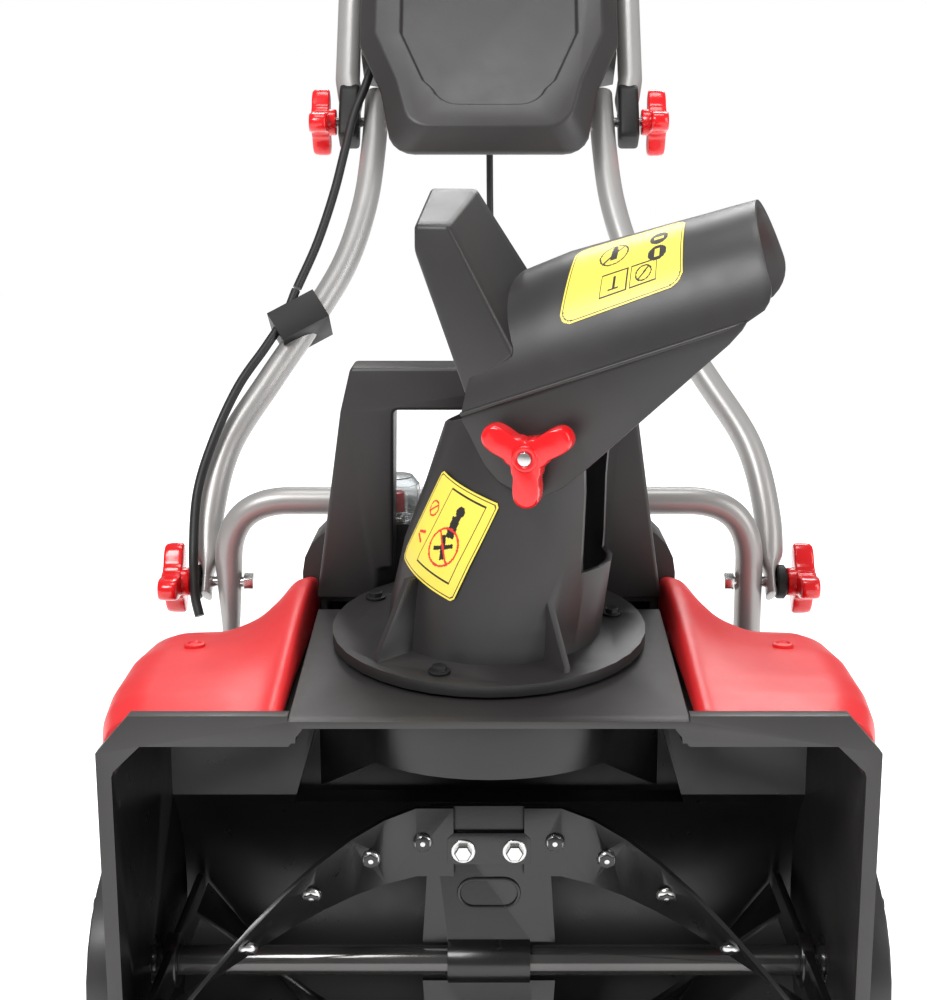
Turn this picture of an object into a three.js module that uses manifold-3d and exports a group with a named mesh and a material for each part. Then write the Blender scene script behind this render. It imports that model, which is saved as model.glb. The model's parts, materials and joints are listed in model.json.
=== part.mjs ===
// A corded electric snow blower with a single-stage auger, a hand-turned chute and a folding handle.
// Millimetres. +X is the right hand of somebody facing the intake, +Y runs back to the handle, +Z up.
// The parts are drawn with y = 0 at the intake's front edge. The last lines put the origin on the
// ground under the middle of the machine.
import * as THREE from "three";
import { mergeVertices } from "three/addons/utils/BufferGeometryUtils.js";
import Module from "manifold-3d";

const wasm = await Module();
wasm.setup();

// ---- driving dimensions ---------------------------------------------------
const GAP = 0.3; // between pieces that touch
const HALF_WIDTH = 220; // outside of the intake casing
const INNER_HALF = 211.5;
const RIM_TOP = 311;
const RIM_DEPTH = 9;
const SHOULDER_Z = 300; // casing top under the red covers
const DECK_TILT = 0.0945; // rise of the chute deck per mm of depth
const DECK_Z0 = 307.6; // deck height at y = 0
const DECK_HALF = 112;
const CASING_BACK = 172;
const CASING_REACH = 210; // past the back of the curved casing
const AUGER = { y: 91, z: 116, r: 104 };
const SCROLL_R = 110; // inside of the curved casing back
const SHAFT_R = 9.5;
const FLANGE = { y: 125, z: 321.5, r: 98, thick: 7 };
const CHUTE_TURN = THREE.MathUtils.degToRad(15); // throw direction, turned forward of +X
const MOTOR = { y: 240, z: 215, r: 36 };
const COVER = { front: 200, step: 233.5, back: 283 }; // motor cover, along y
const COVER_DECK = 325.5;
const COVER_TOP = 367;
const TUBE_R = 10;
const LEG_X = 190;
const LOWER_PIVOT = { y: 295, z: 310 };
const UPPER_PIVOT = { y: 501, z: 641.5 };
const UPPER_X = 116; // centre line of the upper handle's tubes
const BAR_S = 345; // grip bar, measured up the handle from the upper pivot
const WHEEL = { y: 300, r: 78, x: 172, width: 34 };
const PULLEY_X = { from: 223, to: 234 };
const AUGER_PULLEY_R = 45;
const MOTOR_PULLEY_R = 15;
const KNOB_R = 30;
const CABLE_R = 3.5;

// ---- materials ------------------------------------------------------------
const paint = (color, roughness, metalness = 0, extra = {}) =>
  new THREE.MeshStandardMaterial({ color, roughness, metalness, ...extra });
const grey = paint(0x4b4847, 0.55);
const black = paint(0x242323, 0.6);
const red = paint(0xd6262b, 0.4);
const silver = paint(0xa5a29f, 0.35, 0.6);
const steel = paint(0xb9b9ba, 0.3, 0.9);
const darkSteel = paint(0x3a3838, 0.45, 0.5);
const rubber = paint(0x1e1e1e, 0.8);
const clear = paint(0xdde3e6, 0.1, 0, { transparent: true, opacity: 0.35 });

// ---- geometry helpers -------------------------------------------------------
function solid(geometry) {
  const bare = geometry.index ? geometry.toNonIndexed() : geometry.clone();
  bare.deleteAttribute("normal");
  bare.deleteAttribute("uv");
  const merged = mergeVertices(bare, 1e-3);
  const made = new wasm.Manifold(
    new wasm.Mesh({
      numProp: 3,
      vertProperties: merged.attributes.position.array,
      triVerts: new Uint32Array(merged.index.array),
    }),
  );
  if (made.volume() >= 0) return made;
  const flipped = merged.index.array.slice();
  for (let i = 0; i < flipped.length; i += 3) {
    [flipped[i + 1], flipped[i + 2]] = [flipped[i + 2], flipped[i + 1]];
  }
  return new wasm.Manifold(
    new wasm.Mesh({
      numProp: 3,
      vertProperties: merged.attributes.position.array,
      triVerts: new Uint32Array(flipped),
    }),
  );
}

function geometryOf(made) {
  const m = made.getMesh();
  const out = new THREE.BufferGeometry();
  out.setAttribute("position", new THREE.BufferAttribute(m.vertProperties, 3));
  out.setIndex(new THREE.BufferAttribute(m.triVerts, 1));
  return out;
}

const join = (...parts) => parts.map(asSolid).reduce((a, b) => a.add(b));
const cut = (from, ...tools) =>
  tools.map(asSolid).reduce((a, b) => a.subtract(b), asSolid(from));
const asSolid = (g) => (g.isBufferGeometry ? solid(g) : g);

function box(x0, x1, y0, y1, z0, z1) {
  const g = new THREE.BoxGeometry(x1 - x0, y1 - y0, z1 - z0);
  return g.translate((x0 + x1) / 2, (y0 + y1) / 2, (z0 + z1) / 2);
}

// An outline extruded from one plane to another. Each function names the outline's two axes.
function extrude(points, from, to, basis) {
  const shape = new THREE.Shape(points.map(([a, b]) => new THREE.Vector2(a, b)));
  const g = new THREE.ExtrudeGeometry(shape, { depth: to - from, bevelEnabled: false });
  g.translate(0, 0, from);
  return g.applyMatrix4(new THREE.Matrix4().makeBasis(...basis));
}
const X = new THREE.Vector3(1, 0, 0);
const Y = new THREE.Vector3(0, 1, 0);
const Z = new THREE.Vector3(0, 0, 1);
const prismYZ = (points, x0, x1) => extrude(points, x0, x1, [Y, Z, X]);
const prismXZ = (points, y0, y1) =>
  extrude(points.map(([x, z]) => [z, x]), y0, y1, [Z, X, Y]);
const prismXY = (points, z0, z1) => extrude(points, z0, z1, [X, Y, Z]);

function arc(cy, cz, r, from, to, steps) {
  return Array.from({ length: steps + 1 }, (_, i) => {
    const a = THREE.MathUtils.degToRad(from + ((to - from) * i) / steps);
    return [cy + r * Math.cos(a), cz + r * Math.sin(a)];
  });
}

// A round bar from a to b.
function rod(a, b, r, sides = 16) {
  const from = new THREE.Vector3(...a);
  const to = new THREE.Vector3(...b);
  const g = new THREE.CylinderGeometry(r, r, from.distanceTo(to), sides);
  const along = to.clone().sub(from).normalize();
  g.applyQuaternion(new THREE.Quaternion().setFromUnitVectors(Y, along));
  const middle = from.clone().add(to).multiplyScalar(0.5);
  return g.translate(middle.x, middle.y, middle.z);
}

// A round tube through points, straight between them, with corners rounded to a radius.
function bentPath(points, radius) {
  const p = points.map((q) => new THREE.Vector3(...q));
  const path = new THREE.CurvePath();
  let from = p[0];
  for (let i = 1; i < p.length - 1; i++) {
    const before = p[i].clone().add(from.clone().sub(p[i]).setLength(radius));
    const after = p[i].clone().add(p[i + 1].clone().sub(p[i]).setLength(radius));
    path.add(new THREE.LineCurve3(from, before));
    path.add(new THREE.QuadraticBezierCurve3(before, p[i], after));
    from = after;
  }
  path.add(new THREE.LineCurve3(from, p[p.length - 1]));
  return path;
}

const smoothPath = (points) =>
  new THREE.CatmullRomCurve3(points.map((q) => new THREE.Vector3(...q)), false, "centripetal");

function tube(path, r, sides, steps) {
  const round = new THREE.Shape(
    arc(0, 0, r, 0, 360 - 360 / sides, sides - 1).map(([a, b]) => new THREE.Vector2(a, b)),
  );
  return new THREE.ExtrudeGeometry(round, { steps, extrudePath: path, bevelEnabled: false });
}

// A closed skin through loops of equal length, capped at both ends.
function loft(loops) {
  const n = loops[0].length;
  const position = loops.flat().flat();
  const index = [];
  for (let k = 0; k + 1 < loops.length; k++) {
    for (let i = 0; i < n; i++) {
      const j = (i + 1) % n;
      const [a, b, c, d] = [k * n + i, k * n + j, (k + 1) * n + j, (k + 1) * n + i];
      index.push(a, b, c, a, c, d);
    }
  }
  const caps = [
    [0, true],
    [loops.length - 1, false],
  ];
  for (const [k, back] of caps) {
    for (const [a, b, c] of capOf(loops[k])) {
      const t = [k * n + a, k * n + b, k * n + c];
      index.push(...(back ? t.reverse() : t));
    }
  }
  const g = new THREE.BufferGeometry();
  g.setAttribute("position", new THREE.Float32BufferAttribute(position, 3));
  g.setIndex(index);
  return g;
}

// Triangles over one flat loop, wound the way the loop runs.
function capOf(loop) {
  const p = loop.map((q) => new THREE.Vector3(...q));
  const normal = new THREE.Vector3();
  for (let i = 0; i < p.length; i++) {
    normal.add(p[i].clone().cross(p[(i + 1) % p.length]));
  }
  const turn = new THREE.Quaternion().setFromUnitVectors(normal.normalize(), Z);
  const flat = p.map((q) => q.applyQuaternion(turn)).map((q) => new THREE.Vector2(q.x, q.y));
  return THREE.ShapeUtils.triangulateShape(flat, []);
}

// A ring or disc about an axis parallel to X. The profile lists [radius, x] pairs.
function turned(profile, y, z, sides = 20) {
  const closed = [...profile, profile[0]].map(([r, x]) => new THREE.Vector2(r, x));
  const g = new THREE.LatheGeometry(closed, sides);
  g.rotateZ(-Math.PI / 2);
  return g.translate(0, y, z);
}

const deckAt = (y) => DECK_Z0 + DECK_TILT * y;
const mirrored = (points) => points.map(([x, ...rest]) => [-x, ...rest]);
const SIDES = [
  ["left", -1],
  ["right", 1],
];

// ---- the object's tree --------------------------------------------------------
const machine = new THREE.Group();
function add(name, shape, material, parent = machine) {
  const made = asSolid(shape);
  const mesh = new THREE.Mesh(geometryOf(made), material);
  mesh.name = name;
  parent.add(mesh);
  return mesh;
}

// ---- intake casing --------------------------------------------------------------
function casing() {
  const outer = prismYZ(
    [
      [0, 20],
      ...arc(AUGER.y, AUGER.z, SCROLL_R + 4, -110, 45, 14),
      [CASING_BACK, deckAt(CASING_BACK)],
      [RIM_DEPTH, deckAt(RIM_DEPTH)],
      [RIM_DEPTH, RIM_TOP],
      [0, RIM_TOP],
    ],
    -HALF_WIDTH,
    HALF_WIDTH,
  );
  const inner = prismYZ(
    [
      [-5, -5],
      [49.8, -5],
      ...arc(AUGER.y, AUGER.z, SCROLL_R, -112, 47.7, 14),
      [165, deckAt(165) - 4],
      [-5, deckAt(-5) - 4],
    ],
    -INNER_HALF,
    INNER_HALF,
  );
  const corner = [
    [-HALF_WIDTH - 1, -1],
    [HALF_WIDTH + 1, -1],
    [HALF_WIDTH + 1, 288],
    [HALF_WIDTH, 289],
    [200.8, RIM_TOP],
    [196, 340],
    [-196, 340],
    [-200.8, RIM_TOP],
    [-HALF_WIDTH, 289],
    [-HALF_WIDTH - 1, 288],
  ];
  const innerCorner = [
    [-INNER_HALF - 1, -10],
    [INNER_HALF + 1, -10],
    [INNER_HALF + 1, 272],
    [INNER_HALF - 1, 278],
    [193, 295],
    [DECK_HALF - 4, 295],
    [DECK_HALF - 8, 340],
    [8 - DECK_HALF, 340],
    [4 - DECK_HALF, 295],
    [-193, 295],
    [1 - INNER_HALF, 278],
    [-INNER_HALF - 1, 272],
  ];
  const shoulder = (side) =>
    prismXZ(
      [
        [DECK_HALF, SHOULDER_Z],
        [194.5, SHOULDER_Z],
        [213, 271],
        [213, 269.5],
        [230, 269.5],
        [230, 350],
        [DECK_HALF, 350],
      ].map(([x, z]) => [side * x, z]),
      RIM_DEPTH,
      CASING_BACK + 5,
    );
  let body = asSolid(outer).intersect(solid(prismXZ(corner, -5, CASING_REACH)));
  body = cut(body, shoulder(-1), shoulder(1));
  const throat = (grow, y0, y1) =>
    prismXZ(
      [
        [-131 - grow, 189 - grow],
        [131 + grow, 189 - grow],
        [97 + grow, 306],
        [-97 - grow, 306],
      ],
      y0,
      y1,
    );
  body = body.add(solid(throat(5, 168, COVER.front - 3)));
  const cavity = solid(inner).intersect(solid(prismXZ(innerCorner, -10, CASING_REACH)));
  const lip = (side) =>
    prismXZ(
      [
        [205, 293],
        [205, 306],
        [104, 306],
        [104, 303],
        [112, 293],
      ].map(([x, z]) => [side * x, z]),
      0,
      6,
    );
  const deckEdge = prismYZ(
    [
      [-5, deckAt(-5)],
      [RIM_DEPTH + 1, deckAt(RIM_DEPTH + 1)],
      [RIM_DEPTH + 1, 330],
      [-5, 330],
    ],
    -DECK_HALF,
    DECK_HALF,
  );
  body = cut(body, cavity, deckEdge, throat(0, 160, COVER.front - 7));
  body = join(body, lip(-1), lip(1));
  const chuteHole = rod([0, 131, 260], [0, 123, 345], 60, 32);
  const bearingHole = rod([-240, AUGER.y, AUGER.z], [240, AUGER.y, AUGER.z], 16, 24);
  return cut(body, chuteHole, bearingHole);
}

// A U-shaped skirt that hangs under the deck and leads snow into the chute.
function chuteCollar() {
  const r = 97;
  const thick = 3;
  const swing = 44;
  const front = (radius, sign) =>
    arc(0, FLANGE.y, radius, -90 - sign * swing, -90 + sign * swing, 12);
  const outline = [
    [-112, 163],
    ...front(r, 1),
    [112, 163],
    [112 - thick * 1.1, 163],
    ...front(r - thick, -1),
    [thick * 1.1 - 112, 163],
  ];
  const under = [
    [0, 100],
    [0, 262],
    [58, 262],
    [170, 202],
    [170, 100],
  ];
  const over = [
    [0, deckAt(0) - 4 - GAP],
    [170, deckAt(170) - 4 - GAP],
    [170, 360],
    [0, 360],
  ];
  return cut(
    prismXY(outline, 190, 330),
    prismYZ(under, -150, 150),
    prismYZ(over, -150, 150),
    ...SIDES.map(([, side]) => box(side > 0 ? 103 : -140, side > 0 ? 140 : -103, 20, 180, 294, 340)),
  );
}

// ---- red covers -----------------------------------------------------------------
function redCover(side) {
  // crest is the flat top, fin is the ridge beside the chute deck
  const stations = [
    { y: 10.5, crest: 309, fin: 311, floor: 301, wide: 219 },
    { y: 34, crest: 313, fin: 315, floor: 301, wide: 224 },
    { y: 60, crest: 315, fin: 319, floor: 301, wide: 226 },
    { y: 110, crest: 316, fin: 328, floor: 301, wide: 226 },
    { y: 160, crest: 311, fin: 336, floor: 301, wide: 225 },
    { y: 178, crest: 307, fin: 338, floor: 301, wide: 224 },
    { y: 200, crest: 298, fin: 338, floor: 281, wide: 221 },
    { y: 231, crest: 289, fin: 331, floor: 278, wide: 217 },
  ];
  const loops = stations.map(({ y, crest, fin, floor, wide }) =>
    [
      [-wide, floor - 29],
      [-214.5, floor - 29],
      [-196, floor],
      [-117, floor],
      [-117.5, fin - 3],
      [-122, fin],
      [-130, fin - 2],
      [-151, crest + 0.3 * (fin - crest)],
      [-172, crest],
      [20 - wide, crest - 1],
      [7 - wide, crest - 7],
      [1.5 - wide, crest - 16],
      [-wide, crest - 27],
    ].map(([x, z]) => [-side * x, y, Math.max(z, floor - 29)]),
  );
  return loft(loops);
}

// ---- side covers, scraper, motor housing --------------------------------------------
function beltOutline(a, ra, b, rb, steps = 12) {
  const turn = THREE.MathUtils.radToDeg(Math.atan2(b.z - a.z, b.y - a.y));
  const open = THREE.MathUtils.radToDeg(
    Math.acos((ra - rb) / Math.hypot(b.z - a.z, b.y - a.y)),
  );
  return [
    ...arc(a.y, a.z, ra, turn + open, turn + 360 - open, steps),
    ...arc(b.y, b.z, rb, turn - open, turn + open, steps),
  ];
}

function sideCover(side) {
  const outer = beltOutline(AUGER, 66, MOTOR, 36);
  const inner = beltOutline(AUGER, 62.5, MOTOR, 32.5);
  const from = HALF_WIDTH + GAP;
  const shell = cut(prismYZ(outer, from, 240), prismYZ(inner, from - 5, 237));
  return side > 0 ? shell : shell.mirror([1, 0, 0]);
}

function scraper() {
  const profile = [
    [22, 0],
    [49, 0],
    [49, 7.5],
    [22, 4],
  ];
  return prismYZ(profile, -208, 208);
}

function motorCover() {
  const low = (grow) => [
    [-135 - grow, 156 - grow],
    [135 + grow, 156 - grow],
    [140 + grow, 170 - grow],
    [212 + grow, 170 - grow],
    [212 + grow, 246 + grow],
    [192 + grow, 270 + grow],
    [113 + grow, 274 + grow],
    [113 + grow, COVER_DECK + grow],
    [-113 - grow, COVER_DECK + grow],
    [-113 - grow, 274 + grow],
    [-192 - grow, 270 + grow],
    [-212 - grow, 246 + grow],
    [-212 - grow, 170 - grow],
    [-140 - grow, 170 - grow],
  ];
  const arch = (grow) => [
    [-125 - grow, 290],
    [125 + grow, 290],
    ...arc(95, COVER_TOP - 34, 30 + grow, 0, 90, 5),
    ...arc(-95, COVER_TOP - 34, 30 + grow, 90, 180, 5),
  ];
  const skin = 4;
  const outer = join(
    prismXZ(low(0), COVER.front, COVER.back),
    prismXZ(arch(skin), COVER.step, COVER.back),
  );
  const inner = join(
    prismXZ(low(-skin), COVER.front - 5, COVER.back - skin),
    prismXZ(arch(0), COVER.step + skin, COVER.back - skin),
  );
  const bracket = (x) =>
    prismYZ(
      [
        [240, 160],
        [279, 160],
        [316, 76],
        [308, 62],
        [290, 64],
      ],
      x - 5,
      x + 5,
    );
  const ribs = [-96, -64, -32, 0, 32, 64, 96].map((x) =>
    box(x - 2.5, x + 2.5, COVER.back - 1, COVER.back + 1.5, 300, 352),
  );
  return cut(
    join(cut(outer, inner), bracket(-120), bracket(120), ...ribs),
    rod([-200, WHEEL.y, WHEEL.r], [200, WHEEL.y, WHEEL.r], 6 + GAP, 16),
    rod([190, MOTOR.y, MOTOR.z], [230, MOTOR.y, MOTOR.z], 9, 16),
  );
}

function carryHandle() {
  const outline = [
    [-115, COVER_DECK + GAP],
    [-97, 452],
    [-90, 481],
    [90, 481],
    [97, 452],
    [115, COVER_DECK + GAP],
    [64, COVER_DECK + GAP],
    [62, 453],
    [-62, 453],
    [-64, COVER_DECK + GAP],
  ];
  const flangeRoom = rod([0, 131, 262], [0, 123.8, 341], FLANGE.r + 2, 40);
  return cut(prismXZ(outline, 190, 230), flangeRoom);
}

// ---- lower handle tube, fold bolts, knobs ------------------------------------------
const flatEnd = (x, y, z, r, thick, up, length) => {
  const [sy, sz] = up;
  const edge = [-90, -60, -30, 0, 30, 60, 90].map((deg) => {
    const a = THREE.MathUtils.degToRad(deg + 180);
    const [s, n] = [r * Math.cos(a), r * Math.sin(a)];
    return [y + s * sy - n * sz, z + s * sz + n * sy];
  });
  const top = [
    [y + length * sy + r * sz, z + length * sz - r * sy],
    [y + length * sy - r * sz, z + length * sz + r * sy],
  ];
  return prismYZ([...edge, ...top], x - thick / 2, x + thick / 2);
};

function lowerTube() {
  const foot = 180;
  const top = 370.6;
  const path = bentPath(
    [
      [-LEG_X, LOWER_PIVOT.y, foot],
      [-LEG_X, LOWER_PIVOT.y, top],
      [LEG_X, LOWER_PIVOT.y, top],
      [LEG_X, LOWER_PIVOT.y, foot],
    ],
    46,
  );
  const hole = rod(
    [-230, LOWER_PIVOT.y, LOWER_PIVOT.z],
    [230, LOWER_PIVOT.y, LOWER_PIVOT.z],
    4 + GAP,
    12,
  );
  return cut(tube(path, TUBE_R, 12, 28), hole);
}

// A three-armed hand knob on an axis along +u, with its back at the origin.
function triKnob(clock, thick = 20) {
  const outline = Array.from({ length: 24 }, (_, i) => {
    const a = (i / 24) * 2 * Math.PI;
    const r = 13 + (KNOB_R - 13) * Math.pow((1 + Math.cos(3 * a)) / 2, 1.2);
    return [r * Math.cos(a + clock), r * Math.sin(a + clock)];
  });
  const arms = prismXY(outline, 6, thick);
  const hub = rod([0, 0, 0], [0, 0, thick - 2], 10.5, 20);
  return cut(join(arms, hub), rod([0, 0, -1], [0, 0, thick + 1], 4 + GAP, 12));
}

function place(made, origin, axis) {
  const turn = new THREE.Quaternion().setFromUnitVectors(Z, new THREE.Vector3(...axis).normalize());
  const m = new THREE.Matrix4().compose(new THREE.Vector3(...origin), turn, new THREE.Vector3(1, 1, 1));
  return asSolid(made).transform(m.elements.slice());
}

function boltWithHead(a, b, r, headR, headLength) {
  const from = new THREE.Vector3(...a);
  const along = new THREE.Vector3(...b).sub(from).setLength(headLength);
  return join(rod(a, b, r, 12), rod(a, from.add(along).toArray(), headR, 6));
}

// ---- the folding handle's own frame: s up the handle, n out of its front --------------
const handleUp = new THREE.Vector3(
  0,
  UPPER_PIVOT.y - LOWER_PIVOT.y,
  UPPER_PIVOT.z - LOWER_PIVOT.z,
).normalize();
const handleOut = new THREE.Vector3(0, -handleUp.z, handleUp.y);
const onHandle = (x, s, n) => [
  x,
  UPPER_PIVOT.y + s * handleUp.y + n * handleOut.y,
  UPPER_PIVOT.z + s * handleUp.z + n * handleOut.z,
];
// An outline in x and s, extruded from n0 to n1.
function plate(points, n0, n1) {
  const g = extrude(points, n0, n1, [X, handleUp, X.clone().cross(handleUp)]);
  return g.translate(0, UPPER_PIVOT.y, UPPER_PIVOT.z);
}

const MID_LENGTH = Math.hypot(UPPER_PIVOT.y - LOWER_PIVOT.y, UPPER_PIVOT.z - LOWER_PIVOT.z);
const midRoute = (side) =>
  smoothPath(
    [
      [206, -MID_LENGTH + 8, 0],
      [207, -MID_LENGTH + 48, 0],
      [197, -285, 0],
      [168, -230, 0],
      [138, -178, 0],
      [113, -128, 0],
      [99, -76, 0],
      [93.5, -26, 0],
      [91, 27, 0],
    ].map(([x, s, n]) => onHandle(side * x, s, n)),
  );

function midTube(side) {
  const up = [handleUp.y, handleUp.z];
  const foot = flatEnd(side * 206, LOWER_PIVOT.y, LOWER_PIVOT.z, 12, 7, up, 30);
  const lowerHole = rod(
    [side * 195, LOWER_PIVOT.y, LOWER_PIVOT.z],
    [side * 215, LOWER_PIVOT.y, LOWER_PIVOT.z],
    4 + GAP,
    12,
  );
  const upperHole = rod(onHandle(side * 70, 0, 0), onHandle(side * 112, 0, 0), 4 + GAP, 12);
  const trim = prismYZ(
    arc(LOWER_PIVOT.y, LOWER_PIVOT.z, 16, 0, 345, 23),
    side > 0 ? 209.5 : -230,
    side > 0 ? 230 : -209.5,
  );
  const trimIn = prismYZ(
    arc(LOWER_PIVOT.y, LOWER_PIVOT.z, 26, 0, 345, 23),
    side > 0 ? 190 : -202.5,
    side > 0 ? 202.5 : -190,
  );
  return cut(join(tube(midRoute(side), TUBE_R, 12, 20), foot), trim, trimIn, lowerHole, upperHole);
}

function upperTube() {
  const path = bentPath(
    [
      onHandle(-UPPER_X, 14, 0),
      onHandle(-UPPER_X, BAR_S, 0),
      onHandle(UPPER_X, BAR_S, 0),
      onHandle(UPPER_X, 14, 0),
    ],
    48,
  );
  const up = [handleUp.y, handleUp.z];
  const ends = SIDES.map(([, side]) =>
    flatEnd(side * 110, UPPER_PIVOT.y, UPPER_PIVOT.z, 12, 7, up, 26),
  );
  const hole = rod(onHandle(-130, 0, 0), onHandle(130, 0, 0), 4 + GAP, 12);
  return cut(join(tube(path, TUBE_R, 12, 30), ...ends), hole);
}

// ---- switch box ------------------------------------------------------------------
const rounded = (half, s, r) => arc(half - r, s + r, r, -90, 0, 4);
const boxOutline = (inset) => {
  const right = [
    ...arc(58 - inset, -50 + 22 + inset, 22, -90, -20, 4),
    [86 - inset, 6],
    [104 - inset, 50],
    [104 - inset, 170 - inset],
  ];
  return [...right, ...mirrored(right).reverse()];
};
const rearOutline = (inset) => {
  const right = [
    ...rounded(72 - inset, -8 + inset, 10),
    [78 - inset, 38 + inset],
    [103 - inset, 44 + inset],
    [103 - inset, 170 - inset],
  ];
  return [...right, ...mirrored(right).reverse()];
};

function switchFront() {
  const at = (inset, n) => boxOutline(inset).map(([x, s]) => onHandle(x, s, n));
  const face = loft([at(0, 30 + GAP), at(0, 36), at(13, 52)]);
  return cut(face, plate(boxOutline(34), 48, 56), plate(boxOutline(18), 25, 45));
}

function switchRear() {
  const shell = cut(plate(rearOutline(0), -12, 30), plate(rearOutline(3), -9, 35));
  const buttonHole = rod(onHandle(0, 160, 9), onHandle(0, 180, 9), 9, 20);
  const leadHole = rod([LEAD[0][0], LEAD[0][1], LEAD_TOP], [LEAD[0][0], LEAD[0][1], LEAD_TOP + 40], 7, 14);
  return cut(shell, buttonHole, leadHole);
}

function bail() {
  const path = bentPath(
    [onHandle(-92, 178, 30), onHandle(-92, 322, 34), onHandle(92, 322, 34), onHandle(92, 178, 30)],
    22,
  );
  const ears = SIDES.map(([, side]) =>
    rod(onHandle(side * 98, 178, 30), onHandle(side * 80, 178, 30), 6, 12),
  );
  return join(tube(path, 4, 8, 22), ...ears);
}

// ---- auger --------------------------------------------------------------------------
const augerPoint = (x, r, angle, shift) => [
  x,
  AUGER.y - r * Math.sin(angle) - shift * Math.cos(angle),
  AUGER.z + r * Math.cos(angle) - shift * Math.sin(angle),
];
const BLADE = { in: 59, start: 22, bend: 45, end: 195.5, thick: 4.2 };
const bladeAngle = (x) => {
  const t = Math.max(0, (x - BLADE.bend) / (BLADE.end - BLADE.bend));
  return (Math.PI / 2) * Math.pow(t, 1.15);
};

function blade(side, half) {
  const stations = [BLADE.start, BLADE.bend];
  for (let i = 1; i <= 8; i++) stations.push(BLADE.bend + ((BLADE.end - BLADE.bend) * i) / 8);
  const loops = stations.map((x) => {
    const angle = bladeAngle(x) + half * Math.PI;
    return [
      [BLADE.in, GAP],
      [AUGER.r, GAP],
      [AUGER.r, BLADE.thick],
      [BLADE.in, BLADE.thick],
    ].map(([r, shift]) => augerPoint(side * x, r, angle, shift));
  });
  const bolts = [41, 72, 106, 142].map((x) => {
    const angle = bladeAngle(x) + half * Math.PI;
    return rod(
      augerPoint(side * x, 82, angle, 2),
      augerPoint(side * x, 82, angle, BLADE.thick + 4),
      5,
      6,
    );
  });
  return join(loft(loops), ...bolts);
}

// Two plates on one clamp: the upper one behind the upper blades, the lower one before the lower ones.
function paddleHub() {
  const web = (half) => {
    const outline = [
      [-36, 104],
      [-42, 12],
      [42, 12],
      [36, 104],
    ].map(([x, z]) => [x, AUGER.z + half * z]);
    return half > 0
      ? prismXZ(outline, AUGER.y, AUGER.y + 4)
      : prismXZ(outline, AUGER.y - 4, AUGER.y);
  };
  const clamp = rod([-26, AUGER.y, AUGER.z], [26, AUGER.y, AUGER.z], 14, 20);
  const bore = rod([-80, AUGER.y, AUGER.z], [80, AUGER.y, AUGER.z], SHAFT_R + GAP, 20);
  return cut(join(web(1), web(-1), clamp), bore);
}

function endArm(side) {
  const length = AUGER.r - 2;
  const arm = box(-2.5, 2.5, AUGER.y - length, AUGER.y + length, AUGER.z - 12, AUGER.z + 12);
  const boss = rod([-4, AUGER.y, AUGER.z], [4, AUGER.y, AUGER.z], 17, 20);
  const hole = rod([-10, AUGER.y, AUGER.z], [10, AUGER.y, AUGER.z], SHAFT_R + GAP, 20);
  const made = cut(join(arm, boss), hole);
  return made.translate([side * 200, 0, 0]);
}

const pulley = (r, at, bore) =>
  turned(
    [
      [bore, PULLEY_X.from],
      [r + 3.5, PULLEY_X.from],
      [r + 3.5, PULLEY_X.from + 2],
      [r, PULLEY_X.from + 3],
      [r, PULLEY_X.to - 3],
      [r + 3.5, PULLEY_X.to - 2],
      [r + 3.5, PULLEY_X.to],
      [bore, PULLEY_X.to],
    ],
    at.y,
    at.z,
    20,
  );

// ---- chute and deflector, drawn in the throw direction's own frame -------------------
const throwDir = new THREE.Vector3(Math.cos(CHUTE_TURN), -Math.sin(CHUTE_TURN), 0);
const acrossDir = new THREE.Vector3(Math.sin(CHUTE_TURN), Math.cos(CHUTE_TURN), 0);
const onChute = (u, v, z) => [
  u * throwDir.x + v * acrossDir.x,
  FLANGE.y + u * throwDir.y + v * acrossDir.y,
  z,
];
// An outline in u and z, extruded across the chute from v0 to v1.
function chutePlate(points, v0, v1) {
  const g = extrude(points.map(([u, z]) => [z, u]), v0, v1, [Z, throwDir, acrossDir]);
  return g.translate(0, FLANGE.y, 0);
}
const CHUTE_STATIONS = [
  { u: 3, z: 324, r: 67, tilt: 1 },
  { u: 6, z: 345, r: 67, tilt: 0.8 },
  { u: 13.5, z: 385, r: 65, tilt: 0.4 },
  { u: 21, z: 422, r: 58.6, tilt: 0 },
  { u: 42, z: 490, r: 56.5, tilt: 0 },
];

// The tube's skin. Its foot follows the deck's slope, and the inner skin runs past both ends.
function chuteSkin(inset, sides = 24) {
  const last = CHUTE_STATIONS.length - 1;
  const loops = CHUTE_STATIONS.map(({ u, z, r, tilt }, k) => {
    const past = inset ? (k === 0 ? -10 : k === last ? 12 : 0) : 0;
    return arc(0, 0, r - inset, 0, 360 - 360 / sides, sides - 1).map(([a, b]) => {
      const [px, py, pz] = onChute(u + a, b, z + past);
      return [px, py, pz + tilt * DECK_TILT * (py - FLANGE.y)];
    });
  });
  return loft(loops);
}

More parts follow.
